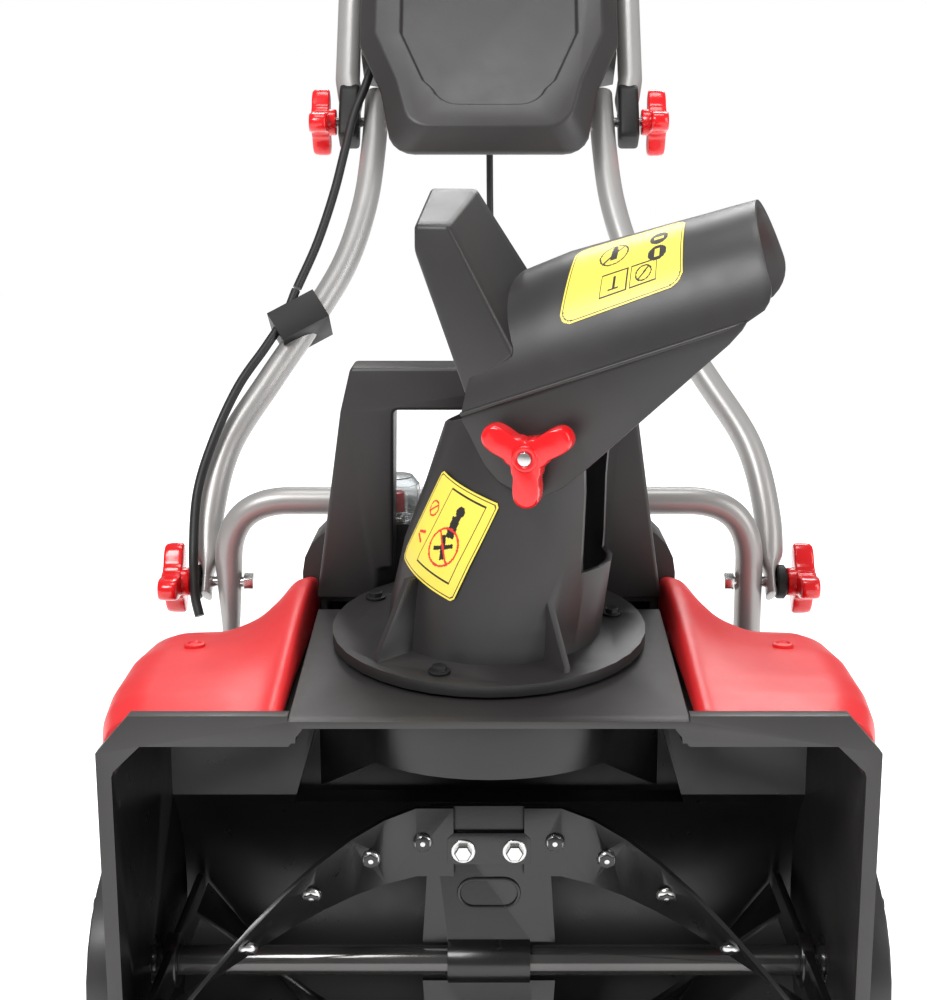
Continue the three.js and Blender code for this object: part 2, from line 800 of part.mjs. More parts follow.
function chute() {
  const tilt = Math.atan(DECK_TILT);
  const disc = new THREE.CylinderGeometry(FLANGE.r, FLANGE.r, FLANGE.thick, 36);
  disc.rotateX(Math.PI / 2 + tilt);
  disc.translate(0, FLANGE.y, FLANGE.z + FLANGE.thick / 2);
  const gussets = [-137, -60].map((deg) => {
    const turn = THREE.MathUtils.degToRad(deg);
    const fin = [
      [60, 2],
      [91, 2],
      [91, 9],
      [67, 52],
      [60, 52],
    ];
    const g = extrude(fin, -2, 2, [X, Z, Y.clone().negate()]);
    g.rotateZ(turn);
    return g.translate(0, FLANGE.y, FLANGE.z + DECK_TILT * 72 * Math.sin(turn));
  });
  const wall = 3.5;
  const throwSlot = chutePlate(
    [
      [66, 374],
      [120, 374],
      [120, 520],
      [70, 520],
    ],
    -44,
    44,
  );
  const rimTop = chutePlate(
    [
      [-60, hoodBase(-60) - 4],
      [130, hoodBase(130) - 4],
      [130, 560],
      [-60, 560],
    ],
    -80,
    80,
  );
  const body = cut(join(disc, chuteSkin(0), ...gussets), chuteSkin(wall), throwSlot, rimTop);
  const holes = CHUTE_SCREWS.map(([x, y]) => screwRod(x, y, 3, -12, 12));
  const pivot = rod(onChute(PIVOT.u, -90, PIVOT.z), onChute(PIVOT.u, 90, PIVOT.z), 4 + GAP, 12);
  return cut(body, ...holes, pivot);
}

const PIVOT = { u: 43, z: 450 };
const CHUTE_SCREWS = [
  [-74, 168],
  [-29, 47],
  [78, 140],
];
const deckNormal = new THREE.Vector3(0, -DECK_TILT, 1).normalize();
// A short bar along the deck's normal at a point of the flange's top.
function screwRod(x, y, r, below, above, sides = 12) {
  const top = FLANGE.z + FLANGE.thick + DECK_TILT * (y - FLANGE.y);
  const at = new THREE.Vector3(x, y, top);
  const a = at.clone().addScaledVector(deckNormal, below);
  const b = at.clone().addScaledVector(deckNormal, above);
  return rod(a.toArray(), b.toArray(), r, sides);
}
const chuteScrew = ([x, y]) =>
  join(
    screwRod(x, y, 2.6, -FLANGE.thick + 0.6, 2),
    screwRod(x, y, 6.5, GAP, 1.8, 18),
    screwRod(x, y, 4.6, 1.5, 4.5, 6),
  );

const HOOD = [
  { u: 0, w: 62.5, h: 81, lean: 0.2 },
  { u: 40, w: 62.5, h: 81, lean: 0.13 },
  { u: 90, w: 62, h: 75, lean: 0.03 },
  { u: 135, w: 61, h: 69, lean: -0.1 },
  { u: 178, w: 60, h: 62, lean: -0.32 },
];
const HOOD_SLOPE = THREE.MathUtils.degToRad(19.4);
// Height of the line where the hood's dome meets its side skirts.
function hoodBase(u) {
  return 470 + u * Math.tan(HOOD_SLOPE);
}

function hoodSkin(inset, from, to) {
  const loops = HOOD.map(({ u, w, h, lean }, k) => {
    const push = k === 0 ? from : k === HOOD.length - 1 ? to : 0;
    const drop = inset ? 14 : 0;
    const dome = arc(0, 0, 1, 0, 180, 14).map(([c, s]) => [c * (w - inset), s * (h - inset)]);
    const rim = inset
      ? [
          [-(w - inset), -drop],
          [w - inset, -drop],
        ]
      : [];
    return [...dome, ...rim].map(([v, up]) =>
      onChute(
        u + push * Math.cos(HOOD_SLOPE) + up * lean,
        v,
        hoodBase(u) + push * Math.sin(HOOD_SLOPE) + up * Math.cos(HOOD_SLOPE),
      ),
    );
  });
  return loft(loops);
}

function deflector() {
  const wall = 3.4;
  const hood = cut(hoodSkin(0, 0, 0), hoodSkin(wall, wall, 20));
  const skirt = [
    [0, hoodBase(0) - 3],
    [8, 452],
    [22, 432],
    [48, 424],
    [72, 440],
    [168, hoodBase(168) - 6],
    [174, hoodBase(174) + 3],
    [90, hoodBase(90) + 5],
    [40, hoodBase(40) + 5],
    [2, hoodBase(2) + 5],
  ];
  const sides = [-1, 1].map((side) => {
    const [v0, v1] = side > 0 ? [59.2, 62.6] : [-62.6, -59.2];
    return chutePlate(skirt, v0, v1);
  });
  // The grip is a hollow arm that leans back from the near side of the hood.
  const near = [
    [2, 479],
    [31, 505],
    [-8, 577],
    [-28, 577],
    [-28, 562],
  ];
  const far = [
    [6, 512],
    [26, 548],
    [-7, 597],
    [-36, 597],
    [-38, 582],
  ];
  const grip = loft([near.map(([u, z]) => onChute(u, -60, z)), far.map(([u, z]) => onChute(u, 0, z))]);
  const hole = rod(onChute(PIVOT.u, -90, PIVOT.z), onChute(PIVOT.u, 90, PIVOT.z), 4 + GAP, 12);
  return cut(join(hood, ...sides, cut(grip, hoodSkin(wall, wall, 20))), hole);
}

// ---- cables ----------------------------------------------------------------------
const CABLE_UPPER = [
  [-95, 38, 20],
  [-100, 20, 20],
  [-108, -5, 20],
  [-114, -35, 19],
  [-122, -75, 17],
  [-134, -120, 16],
  [-148, -158, 15],
];
const CABLE_LOWER = [
  [-149, -160, 15],
  [-157, -183, 14],
  [-170, -208, 15],
  [-188, -240, 17],
  [-205, -285, 17],
  [-215, -325, 14],
];
const CABLE_TAIL = [
  [-214.5, 289, 333],
  [-213.5, 283, 316],
  [-212.5, 279, 302],
  [-209, 274, 290],
];
const cableUpperPath = smoothPath(CABLE_UPPER.map((p) => onHandle(...p)));
const cableLowerPath = smoothPath([...CABLE_LOWER.map((p) => onHandle(...p)), ...CABLE_TAIL]);

// The short lead under the switch box hangs from its strain relief to the plug.
const LEAD_R = 2.7;
const LEAD_TOP = 617;
const LEAD_FOOT = 395;
const LEAD = [
  [0.6, 488, LEAD_TOP],
  [0.7, 487.7, 602],
  [0.8, 487.2, 587],
  [1, 486.6, 571],
  [1.3, 486, 555],
  [1.6, 485.4, 539],
  [1.9, 485, 523],
  [2.1, 484.7, 507],
  [2.2, 484.6, 491],
  [2.2, 484.7, 475],
  [2.1, 484.9, 459],
  [2, 485.1, 443],
  [2, 485.2, 427],
  [2, 485.3, 411],
  [2, 485.3, LEAD_FOOT],
];

// A body of revolution about a vertical line. The profile lists [radius, z] pairs.
function upright(profile, x, y, sides = 20) {
  const g = new THREE.LatheGeometry(
    profile.map(([r, z]) => new THREE.Vector2(r, z)),
    sides,
  );
  g.rotateX(Math.PI / 2);
  return g.translate(x, y, 0);
}

function mainsPlug() {
  const [x, y] = LEAD[LEAD.length - 1];
  const top = LEAD_FOOT - GAP;
  const body = upright(
    [
      [0, top - 52],
      [18, top - 52],
      [18, top - 34],
      [12, top - 26],
      [5.5, top - 6],
      [4.5, top],
      [0, top],
    ],
    x,
    y,
    20,
  );
  const pins = [-9.5, 9.5].map((dx) =>
    rod([x + dx, y, top - 50], [x + dx, y, top - 70], 2.4, 10),
  );
  return join(body, ...pins);
}

function cableClip() {
  const s = -183;
  const lean = THREE.MathUtils.degToRad(31);
  const g = new THREE.BoxGeometry(40, 26, 34);
  const basis = new THREE.Matrix4().makeBasis(X, handleUp, handleOut);
  g.rotateZ(lean);
  g.applyMatrix4(basis);
  g.translate(...onHandle(-146, s, 3));
  return cut(
    g,
    tube(midRoute(-1), TUBE_R + GAP, 12, 20),
    tube(cableLowerPath, CABLE_R + GAP, 8, 22),
  );
}

// ---- assembly ---------------------------------------------------------------------
add("auger_housing", casing(), grey);
add("chute_collar", chuteCollar(), grey);
for (const [name, side] of SIDES) {
  add("red_cover_" + name, redCover(side), red);
  add("side_cover_" + name, sideCover(side), grey);
  add(
    "bearing_" + name,
    turned(
      [
        [SHAFT_R + GAP, 212.5],
        [15.7, 212.5],
        [15.7, 219.5],
        [SHAFT_R + GAP, 219.5],
      ].map(([r, x]) => [r, side * x]),
      AUGER.y,
      AUGER.z,
      24,
    ),
    steel,
  );
}
add("scraper_bar", scraper(), darkSteel);
add("motor_cover", motorCover(), grey);
add("carry_handle", carryHandle(), grey);
add("lower_handle_tube", lowerTube(), silver);
add(
  "motor",
  join(
    rod([-82, MOTOR.y, MOTOR.z], [100, MOTOR.y, MOTOR.z], MOTOR.r, 28),
    rod([-92, MOTOR.y, MOTOR.z], [-80, MOTOR.y, MOTOR.z], 20, 16),
  ),
  darkSteel,
);
add(
  "drive_belt",
  cut(
    prismYZ(beltOutline(AUGER, AUGER_PULLEY_R + 4, MOTOR, MOTOR_PULLEY_R + 4, 12), 226.4, 230.6),
    prismYZ(beltOutline(AUGER, AUGER_PULLEY_R + 3 * GAP, MOTOR, MOTOR_PULLEY_R + 3 * GAP, 12), 225, 240),
  ),
  rubber,
);
add("wheel_axle", rod([-WHEEL.x - 22, WHEEL.y, WHEEL.r], [WHEEL.x + 22, WHEEL.y, WHEEL.r], 6, 16), steel);

const bootAt = { x: -66, y: 258, z: COVER_TOP };
add(
  "reset_button",
  rod([bootAt.x, bootAt.y, bootAt.z + 4], [bootAt.x, bootAt.y, bootAt.z + 18], 7, 14),
  black,
);
const boot = upright(
  [
    [0, 30.5],
    [13, 29.5],
    [17.5, 24],
    [17.5, 3],
    [19, 2],
    [19, 0],
    [16, 0],
    [16, 23.4],
    [12.4, 28],
    [0, 29],
  ].map(([r, z]) => [r, z + bootAt.z + GAP]),
  bootAt.x,
  bootAt.y,
  16,
);
add("reset_boot", boot, clear);

// moving parts below the deck
add(
  "auger_shaft",
  rod([-230, AUGER.y, AUGER.z], [PULLEY_X.to + 1, AUGER.y, AUGER.z], SHAFT_R, 20),
  steel,
);
add("paddle_hub", paddleHub(), darkSteel);
for (const [name, side] of SIDES) {
  add("blade_upper_" + name, blade(side, 0), darkSteel);
  add("blade_lower_" + name, blade(side, 1), darkSteel);
  add("end_arm_" + name, endArm(side), darkSteel);
  const rim = WHEEL.width / 2;
  add(
    "wheel_" + name,
    turned(
      [
        [6 + GAP, -rim],
        [22, -rim],
        [24, -5],
        [60, -5],
        [64, -rim + 2],
        [WHEEL.r - 3, -rim],
        [WHEEL.r, -rim + 4],
        [WHEEL.r, rim - 4],
        [WHEEL.r - 3, rim],
        [64, rim - 2],
        [60, 5],
        [24, 5],
        [22, rim],
        [6 + GAP, rim],
      ].map(([r, x]) => [r, x + side * WHEEL.x]),
      WHEEL.y,
      WHEEL.r,
      24,
    ),
    rubber,
  );
}
add("auger_pulley", pulley(AUGER_PULLEY_R, AUGER, SHAFT_R + GAP), darkSteel);
add(
  "motor_pulley",
  join(
    pulley(MOTOR_PULLEY_R, MOTOR, 4),
    rod([100 + GAP, MOTOR.y, MOTOR.z], [PULLEY_X.to, MOTOR.y, MOTOR.z], 5, 14),
  ),
  steel,
);

// chute
add("chute", chute(), grey);
CHUTE_SCREWS.forEach((at, i) => add("chute_screw_" + (i + 1), chuteScrew(at), steel));
add("deflector", deflector(), grey);
add(
  "deflector_bolt",
  boltWithHead(onChute(PIVOT.u, 50, PIVOT.z), onChute(PIVOT.u, -85, PIVOT.z), 4, 4, 1),
  steel,
);
add(
  "chute_knob",
  place(triKnob(Math.PI / 12), onChute(PIVOT.u, -63.2, PIVOT.z), acrossDir.clone().negate().toArray()),
  red,
);

// folding handle
for (const [name, side] of SIDES) {
  add("mid_tube_" + name, midTube(side), silver);
  add(
    "lower_bolt_" + name,
    boltWithHead(
      [side * 172, LOWER_PIVOT.y, LOWER_PIVOT.z],
      [side * 236, LOWER_PIVOT.y, LOWER_PIVOT.z],
      4,
      7,
      7,
    ),
    steel,
  );
  add(
    "lower_knob_" + name,
    place(triKnob(0.5), [side * 218, LOWER_PIVOT.y, LOWER_PIVOT.z], [side, 0, 0]),
    red,
  );
  add(
    "upper_bolt_" + name,
    boltWithHead(onHandle(side * 76, 0, 0), onHandle(side * 143, 0, 0), 4, 6.5, 4),
    steel,
  );
  add(
    "upper_knob_" + name,
    place(triKnob(0.5), onHandle(side * 124, 0, 0), [side, 0, 0]),
    red,
  );
}
add("cable_clip", cableClip(), black);
add("power_cable_lower", tube(cableLowerPath, CABLE_R, 8, 22), rubber);
add("power_cable_upper", tube(cableUpperPath, CABLE_R, 8, 12), rubber);
add("upper_handle_tube", upperTube(), silver);
add(
  "grip_sleeve",
  turned(
    [
      [TUBE_R + 2 * GAP, -62],
      [15.5, -62],
      [15.5, 62],
      [TUBE_R + 2 * GAP, 62],
    ],
    onHandle(0, BAR_S, 0)[1],
    onHandle(0, BAR_S, 0)[2],
    20,
  ),
  rubber,
);
add("switch_box_front", switchFront(), grey);
add("switch_box_rear", switchRear(), grey);
add("trigger_switch", plate([[-22, 108], [22, 108], [22, 146], [-22, 146]], -6, 26), black);
add("bail_lever", bail(), silver);
add("lock_button", rod(onHandle(0, 156, 9), onHandle(0, 177, 9), 8.5, 20), red);
add(
  "lead_relief",
  upright(
    [
      [0, LEAD_TOP + GAP],
      [3.6, LEAD_TOP + GAP],
      [6.4, LEAD_TOP + 24],
      [0, LEAD_TOP + 24],
    ],
    LEAD[0][0],
    LEAD[0][1],
    14,
  ),
  black,
);
add("plug_lead", tube(smoothPath(LEAD), LEAD_R, 8, 16), rubber);
add("mains_plug", mainsPlug(), black);

machine.updateMatrixWorld(true);
const bounds = new THREE.Box3().setFromObject(machine);
machine.position.set(
  -(bounds.min.x + bounds.max.x) / 2,
  -(bounds.min.y + bounds.max.y) / 2,
  -bounds.min.z,
);

export default machine;
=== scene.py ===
"""Looks of a corded electric snow blower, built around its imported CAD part."""

import json
import math

import bmesh
import bpy
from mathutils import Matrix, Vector


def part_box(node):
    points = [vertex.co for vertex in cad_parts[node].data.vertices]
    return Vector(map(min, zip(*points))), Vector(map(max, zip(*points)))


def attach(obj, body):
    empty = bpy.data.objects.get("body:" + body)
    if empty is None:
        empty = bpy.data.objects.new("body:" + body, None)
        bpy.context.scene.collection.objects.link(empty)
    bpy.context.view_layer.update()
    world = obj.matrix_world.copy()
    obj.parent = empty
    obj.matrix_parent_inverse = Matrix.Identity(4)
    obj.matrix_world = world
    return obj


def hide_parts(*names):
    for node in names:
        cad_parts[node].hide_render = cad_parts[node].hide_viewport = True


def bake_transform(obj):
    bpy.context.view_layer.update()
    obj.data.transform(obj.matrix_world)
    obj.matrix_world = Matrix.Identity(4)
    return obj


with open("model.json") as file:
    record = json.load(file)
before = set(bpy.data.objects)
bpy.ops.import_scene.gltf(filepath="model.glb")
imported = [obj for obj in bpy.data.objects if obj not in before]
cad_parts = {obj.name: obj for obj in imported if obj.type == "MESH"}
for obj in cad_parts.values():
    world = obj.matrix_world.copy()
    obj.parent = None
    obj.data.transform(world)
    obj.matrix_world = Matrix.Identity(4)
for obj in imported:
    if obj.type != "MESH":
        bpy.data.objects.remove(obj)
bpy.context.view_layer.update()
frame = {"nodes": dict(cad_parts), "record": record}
record = frame["record"]
BODY = {n: b for b, nodes in record["behaviour"]["bodies"].items() for n in nodes}
SLOT = {s["node"]: s["material_slot"] for s in record["subparts"]}

# ---- places: machine millimetres (y = 0 at the intake's front edge) to metres ----------
low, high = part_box("auger_shaft")
Y0 = (low.y + high.y) / 2 - 0.091


def at(x, y, z):
    return Vector((x / 1000, y / 1000 + Y0, z / 1000))


CHUTE_Y = 125
AUGER_Y, AUGER_Z = 91, 116
LOWER, UPPER = (295.0, 310.0), (501.0, 641.5)
REACH = math.hypot(UPPER[0] - LOWER[0], UPPER[1] - LOWER[1])
UPY, UPZ = (UPPER[0] - LOWER[0]) / REACH, (UPPER[1] - LOWER[1]) / REACH
TURN = math.radians(15)
DECK_TILT = 0.0945


def on_handle(x, s, n=0.0):
    return at(x, UPPER[0] + s * UPY - n * UPZ, UPPER[1] + s * UPZ + n * UPY)


def on_chute(u, v, z):
    return at(
        u * math.cos(TURN) + v * math.sin(TURN),
        CHUTE_Y - u * math.sin(TURN) + v * math.cos(TURN),
        z,
    )


HANDLE_OUT = Vector((0, -UPZ, UPY))
ACROSS = Vector((math.sin(TURN), math.cos(TURN), 0))
SIDES = (("left", -1), ("right", 1))


# ---- materials -------------------------------------------------------------------------
def material(
    name,
    base,
    rough,
    metal=0.0,
    grain=1500.0,
    bump=0.05,
    mottle=0.12,
    coat=0.0,
    specular=0.5,
    scratches=0.0,
    sheen=0.0,
):
    """A surface with soft colour mottling, uneven gloss and a fine moulded or sprayed grain."""
    m = bpy.data.materials.new(name)
    m.use_nodes = True
    tree = m.node_tree
    n, link = tree.nodes, tree.links.new
    p = n["Principled BSDF"]
    p.inputs["Metallic"].default_value = metal
    p.inputs["Coat Weight"].default_value = coat
    p.inputs["Coat Roughness"].default_value = 0.12
    p.inputs["Specular IOR Level"].default_value = specular
    p.inputs["Sheen Weight"].default_value = sheen
    place = n.new("ShaderNodeTexCoord")
    cloud = n.new("ShaderNodeTexNoise")
    cloud.inputs["Scale"].default_value = 14
    cloud.inputs["Detail"].default_value = 5
    link(place.outputs["Object"], cloud.inputs["Vector"])
    tint = n.new("ShaderNodeValToRGB")
    tint.color_ramp.elements[0].position = 0.3
    tint.color_ramp.elements[1].position = 0.7
    tint.color_ramp.elements[0].color = [c * (1 - mottle) for c in base] + [1]
    tint.color_ramp.elements[1].color = [min(1, c * (1 + mottle)) for c in base] + [1]
    link(cloud.outputs["Fac"], tint.inputs["Fac"])
    link(tint.outputs["Color"], p.inputs["Base Color"])
    wear = n.new("ShaderNodeTexNoise")
    wear.inputs["Scale"].default_value = 60
    wear.inputs["Detail"].default_value = 6
    link(place.outputs["Object"], wear.inputs["Vector"])
    gloss = n.new("ShaderNodeMapRange")
    gloss.inputs["To Min"].default_value = max(0.02, rough - 0.07)
    gloss.inputs["To Max"].default_value = min(1, rough + 0.07)
    link(wear.outputs["Fac"], gloss.inputs["Value"])
    link(gloss.outputs["Result"], p.inputs["Roughness"])
    fine = n.new("ShaderNodeTexNoise")
    fine.inputs["Scale"].default_value = grain
    fine.inputs["Detail"].default_value = 3
    link(place.outputs["Object"], fine.inputs["Vector"])
    relief = n.new("ShaderNodeBump")
    relief.inputs["Strength"].default_value = bump
    relief.inputs["Distance"].default_value = 0.0006
    link(fine.outputs["Fac"], relief.inputs["Height"])
    if scratches:
        stretch = n.new("ShaderNodeMapping")
        stretch.inputs["Scale"].default_value = (30, 1400, 1400)
        link(place.outputs["Object"], stretch.inputs["Vector"])
        lines = n.new("ShaderNodeTexNoise")
        lines.inputs["Scale"].default_value = 1
        lines.inputs["Detail"].default_value = 2
        link(stretch.outputs["Vector"], lines.inputs["Vector"])
        brush = n.new("ShaderNodeBump")
        brush.inputs["Strength"].default_value = scratches
        brush.inputs["Distance"].default_value = 0.0002
        link(lines.outputs["Fac"], brush.inputs["Height"])
        link(brush.outputs["Normal"], relief.inputs["Normal"])
    link(relief.outputs["Normal"], p.inputs["Normal"])
    return m


HOUSING = material("housing_grey", (0.032, 0.0300, 0.0295), 0.42, grain=1100, bump=0.10)
# Near-black for the inside of the intake and the chute collar. Its darkness is partly the black
# steel scroll and partly painted shade of the deep recess.
INTAKE_BLACK_AND_SHADE = material("intake_black_and_painted_shade", (0.010, 0.0097, 0.0096), 0.30, grain=900, bump=0.05)
CHUTE_GREY = material("chute_grey", (0.027, 0.0252, 0.0250), 0.40, grain=1300, bump=0.08)
RED = material("cover_red", (0.74, 0.022, 0.026), 0.40, grain=1200, bump=0.07, mottle=0.05)
KNOB = material(
    "knob_red", (0.78, 0.006, 0.010), 0.22, grain=500, bump=0.02, mottle=0.05, coat=0.35
)
SILVER = material(
    "tube_silver", (0.40, 0.392, 0.382), 0.36, metal=0.4, grain=2600, bump=0.05, mottle=0.04
)
ZINC = material(
    "zinc_steel", (0.62, 0.62, 0.61), 0.26, metal=1.0, grain=700, bump=0.05, scratches=0.12
)
SHAFT = material(
    "shaft_dark", (0.09, 0.087, 0.085), 0.16, metal=0.7, grain=500, bump=0.03, coat=0.5,
    scratches=0.08,
)
AUGER = material(
    "auger_black", (0.009, 0.0088, 0.0086), 0.30, metal=0.1, grain=420, bump=0.10, coat=0.25
)
BLACK = material("black_plastic", (0.012, 0.012, 0.012), 0.48, grain=1200, bump=0.08, specular=0.32)
CABLE = material("cable_black", (0.012, 0.012, 0.012), 0.48, grain=900, bump=0.06)
TYRE = material("tyre_rubber", (0.018, 0.018, 0.018), 0.72, grain=420, bump=0.25)
FOAM = material("foam_grip", (0.016, 0.016, 0.016), 0.85, grain=650, bump=0.5, sheen=0.3)
YELLOW = material("label_yellow", (1.0, 0.80, 0.11), 0.36, grain=900, bump=0.02, mottle=0.02)
INK = material("label_ink", (0.020, 0.018, 0.016), 0.42, grain=900, bump=0.02)
INK_RED = material("label_red", (0.75, 0.04, 0.03), 0.42, grain=900, bump=0.02)
CLEAR = material("clear_boot", (0.90, 0.93, 0.94), 0.10, grain=500, bump=0.05, mottle=0.02)
CLEAR.node_tree.nodes["Principled BSDF"].inputs["Transmission Weight"].default_value = 0.92
CLEAR.node_tree.nodes["Principled BSDF"].inputs["IOR"].default_value = 1.4

# ---- mesh helpers ----------------------------------------------------------------------


def shade(mesh, angle=34):
    """Smooth shading, with the edges sharper than angle kept crisp."""
    bm = bmesh.new()
    bm.from_mesh(mesh)
    limit = math.radians(angle)
    for e in bm.edges:
        e.smooth = len(e.link_faces) == 2 and e.calc_face_angle(0) < limit
    for f in bm.faces:
        f.smooth = True
    bm.to_mesh(mesh)
    bm.free()


def settle(obj, modifiers, angle=34):
    """Applies a piece's modifiers, so that its mesh is final."""
    for kind, values in modifiers:
        mod = obj.modifiers.new(kind.lower(), kind)
        for k, v in values.items():
            setattr(mod, k, v)
    bpy.context.view_layer.update()
    graph = bpy.context.evaluated_depsgraph_get()
    mesh = bpy.data.meshes.new_from_object(obj.evaluated_get(graph))
    obj.modifiers.clear()
    old, obj.data = obj.data, mesh
    bpy.data.meshes.remove(old)
    shade(obj.data, angle)


def bevel(width, segments=2, angle=30):
    return (
        "BEVEL",
        {
            "width": width / 1000,
            "segments": segments,
            "limit_method": "ANGLE",
            "angle_limit": math.radians(angle),
            "use_clamp_overlap": True,
            "miter_outer": "MITER_ARC",
        },
    )


def piece(name, verts, faces, mat, body, slot, replaces=(), modifiers=(), angle=34, turn=True):
    """A new mesh piece that moves with a body."""
    mesh = bpy.data.meshes.new(name)
    mesh.from_pydata([tuple(v) for v in verts], [], faces)
    if turn:
        bm = bmesh.new()
        bm.from_mesh(mesh)
        bmesh.ops.recalc_face_normals(bm, faces=bm.faces)
        bm.to_mesh(mesh)
        bm.free()
    for m in mat if isinstance(mat, (list, tuple)) else [mat]:
        mesh.materials.append(m)
    obj = bpy.data.objects.new(name, mesh)
    bpy.context.scene.collection.objects.link(obj)
    settle(obj, list(modifiers), angle)
    if body:
        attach(obj, body)
    if replaces:
        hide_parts(*replaces)
    return obj


def refine(node, mat, width=1.0, segments=2, angle=30):
    """A CAD node's shape with its corners rounded, standing for the node."""
    bm = bmesh.new()
    bm.from_mesh(frame["nodes"][node].data)
    bmesh.ops.remove_doubles(bm, verts=bm.verts, dist=2e-6)
    bmesh.ops.dissolve_limit(
        bm,
        angle_limit=math.radians(0.6),
        verts=bm.verts,
        edges=bm.edges,
        use_dissolve_boundaries=False,
    )
    verts = [v.co.copy() for v in bm.verts]
    faces = [[v.index for v in f.verts] for f in bm.faces]
    bm.free()
    return piece(
        node + "_fine",
        verts,
        faces,
        mat,
        BODY[node],
        SLOT[node],
        [node],
        [bevel(width, segments, angle)],
        turn=False,
    )


def grid(rows, closed_u=False, closed_v=False):
    """Faces over rows of points, each row as long as the first."""
    n, m = len(rows), len(rows[0])
    faces = []
    for i in range(n if closed_u else n - 1):
        for j in range(m if closed_v else m - 1):
            i2, j2 = (i + 1) % n, (j + 1) % m
            faces.append([i * m + j, i * m + j2, i2 * m + j2, i2 * m + j])
    return [p for r in rows for p in r], faces


def lofted(loops):
    """A closed skin through loops, with a flat face over each end."""
    verts, faces = grid(loops, closed_v=True)
    m = len(loops[0])
    faces.append(list(range(m))[::-1])
    faces.append([len(verts) - m + j for j in range(m)])
    return verts, faces


def catmull(points, steps):
    """A smooth curve through points, steps samples to each span."""
    p = [Vector(q) for q in points]
    p = [p[0] * 2 - p[1], *p, p[-1] * 2 - p[-2]]
    out = []
    for i in range(1, len(p) - 2):
        t = [0.0]
        for a, b in zip(p[i - 1 : i + 2], p[i : i + 3]):
            t.append(t[-1] + max(1e-9, (b - a).length) ** 0.5)
        for k in range(steps):
            x = t[1] + (t[2] - t[1]) * k / steps
            a1 = p[i - 1].lerp(p[i], (x - t[0]) / (t[1] - t[0]))
            a2 = p[i].lerp(p[i + 1], (x - t[1]) / (t[2] - t[1]))
            a3 = p[i + 1].lerp(p[i + 2], (x - t[2]) / (t[3] - t[2]))
            b1 = a1.lerp(a2, (x - t[0]) / (t[2] - t[0]))
            b2 = a2.lerp(a3, (x - t[1]) / (t[3] - t[1]))
            out.append(b1.lerp(b2, (x - t[1]) / (t[2] - t[1])))
    return out + [p[-2].copy()]


def bent(points, radius, steps=14):
    """Straight runs whose corners are rounded."""
    p = [Vector(q) for q in points]
    r = radius / 1000
    out = [p[0]]
    for before, corner, after in zip(p, p[1:], p[2:]):
        a = corner + (before - corner).normalized() * r
        b = corner + (after - corner).normalized() * r
        for k in range(steps + 1):
            t = k / steps
            out.append(a.lerp(corner, t).lerp(corner.lerp(b, t), t))
    return out + [p[-1]]


def sweep(path, size, sides=28, across=None):
    """A bar along a path. size(mm along it, its length) gives the two half widths in mm."""
    along = [0.0]
    for a, b in zip(path, path[1:]):
        along.append(along[-1] + (b - a).length)
    side = Vector(across or (0, 0, 1))
    loops = []
    for i, p in enumerate(path):
        ahead = (path[min(i + 1, len(path) - 1)] - path[max(i - 1, 0)]).normalized()
        side = (side - ahead * side.dot(ahead)).normalized()
        other = ahead.cross(side)
        a, b = size(along[i] * 1000, along[-1] * 1000)
        loops.append(
            [
                p
                + side * (a / 1000 * math.cos(2 * math.pi * k / sides))
                + other * (b / 1000 * math.sin(2 * math.pi * k / sides))
                for k in range(sides)
            ]
        )
    return lofted(loops)


def lathe(profile, origin, axis, sides=48, radius=None):
    """A turned piece: profile lists [radius, distance along the axis] in mm."""
    axis = Vector(axis).normalized()
    turn = Vector((0, 0, 1)).rotation_difference(axis)
    loops = []
    for r, h in profile:
        loop = []
        for k in range(sides):
            a = 2 * math.pi * k / sides
            q = radius(r, h, a) if radius else r
            loop.append(
                origin + turn @ (Vector((q * math.cos(a), q * math.sin(a), h)) / 1000)
            )
        loops.append(loop)
    return lofted(loops)


def merge(*parts):
    verts, faces = [], []
    for v, f in parts:
        k = len(verts)
        verts += v
        faces += [[i + k for i in face] for face in f]
    return verts, faces


def prism(outline, a, b, to_space):
    """An outline pushed from a to b. to_space turns (x, y, depth) into a point."""
    return lofted([[to_space(x, y, d) for x, y in outline] for d in (a, b)])


def arc(cx, cy, r, start, end, steps):
    return [
        (
            cx + r * math.cos(math.radians(start + (end - start) * k / steps)),
            cy + r * math.sin(math.radians(start + (end - start) * k / steps)),
        )
        for k in range(steps + 1)
    ]


# ---- camera, lights, floor -------------------------------------------------------------
camera = bpy.data.cameras.new("camera")
camera.lens = 58.69
camera.sensor_width = 36
camera.shift_x = -0.0254
eye = bpy.data.objects.new("camera", camera)
eye.location = at(0, -860.8, 616.8)
eye.rotation_euler = (math.radians(78), 0, 0)
bpy.context.scene.collection.objects.link(eye)
bpy.context.scene.camera = eye

world = bpy.data.worlds.new("studio")
world.use_nodes = True
sky = world.node_tree.nodes["Background"]
sky.inputs["Color"].default_value = (1, 1, 1, 1)
rays = world.node_tree.nodes.new("ShaderNodeLightPath")
level = world.node_tree.nodes.new("ShaderNodeMapRange")
level.inputs["To Min"].default_value = 0.30
level.inputs["To Max"].default_value = 1.0
world.node_tree.links.new(rays.outputs["Is Camera Ray"], level.inputs["Value"])
world.node_tree.links.new(level.outputs["Result"], sky.inputs["Strength"])
bpy.context.scene.world = world
bpy.context.scene.view_settings.view_transform = "Standard"


def soft_light(name, place, target, size, watts):
    data = bpy.data.lights.new(name, "AREA")
    data.shape = "RECTANGLE"
    data.size, data.size_y = size
    data.energy = watts
    lamp = bpy.data.objects.new(name, data)
    lamp.location = place
    lamp.rotation_euler = (Vector(target) - Vector(place)).to_track_quat("-Z", "Y").to_euler()
    bpy.context.scene.collection.objects.link(lamp)


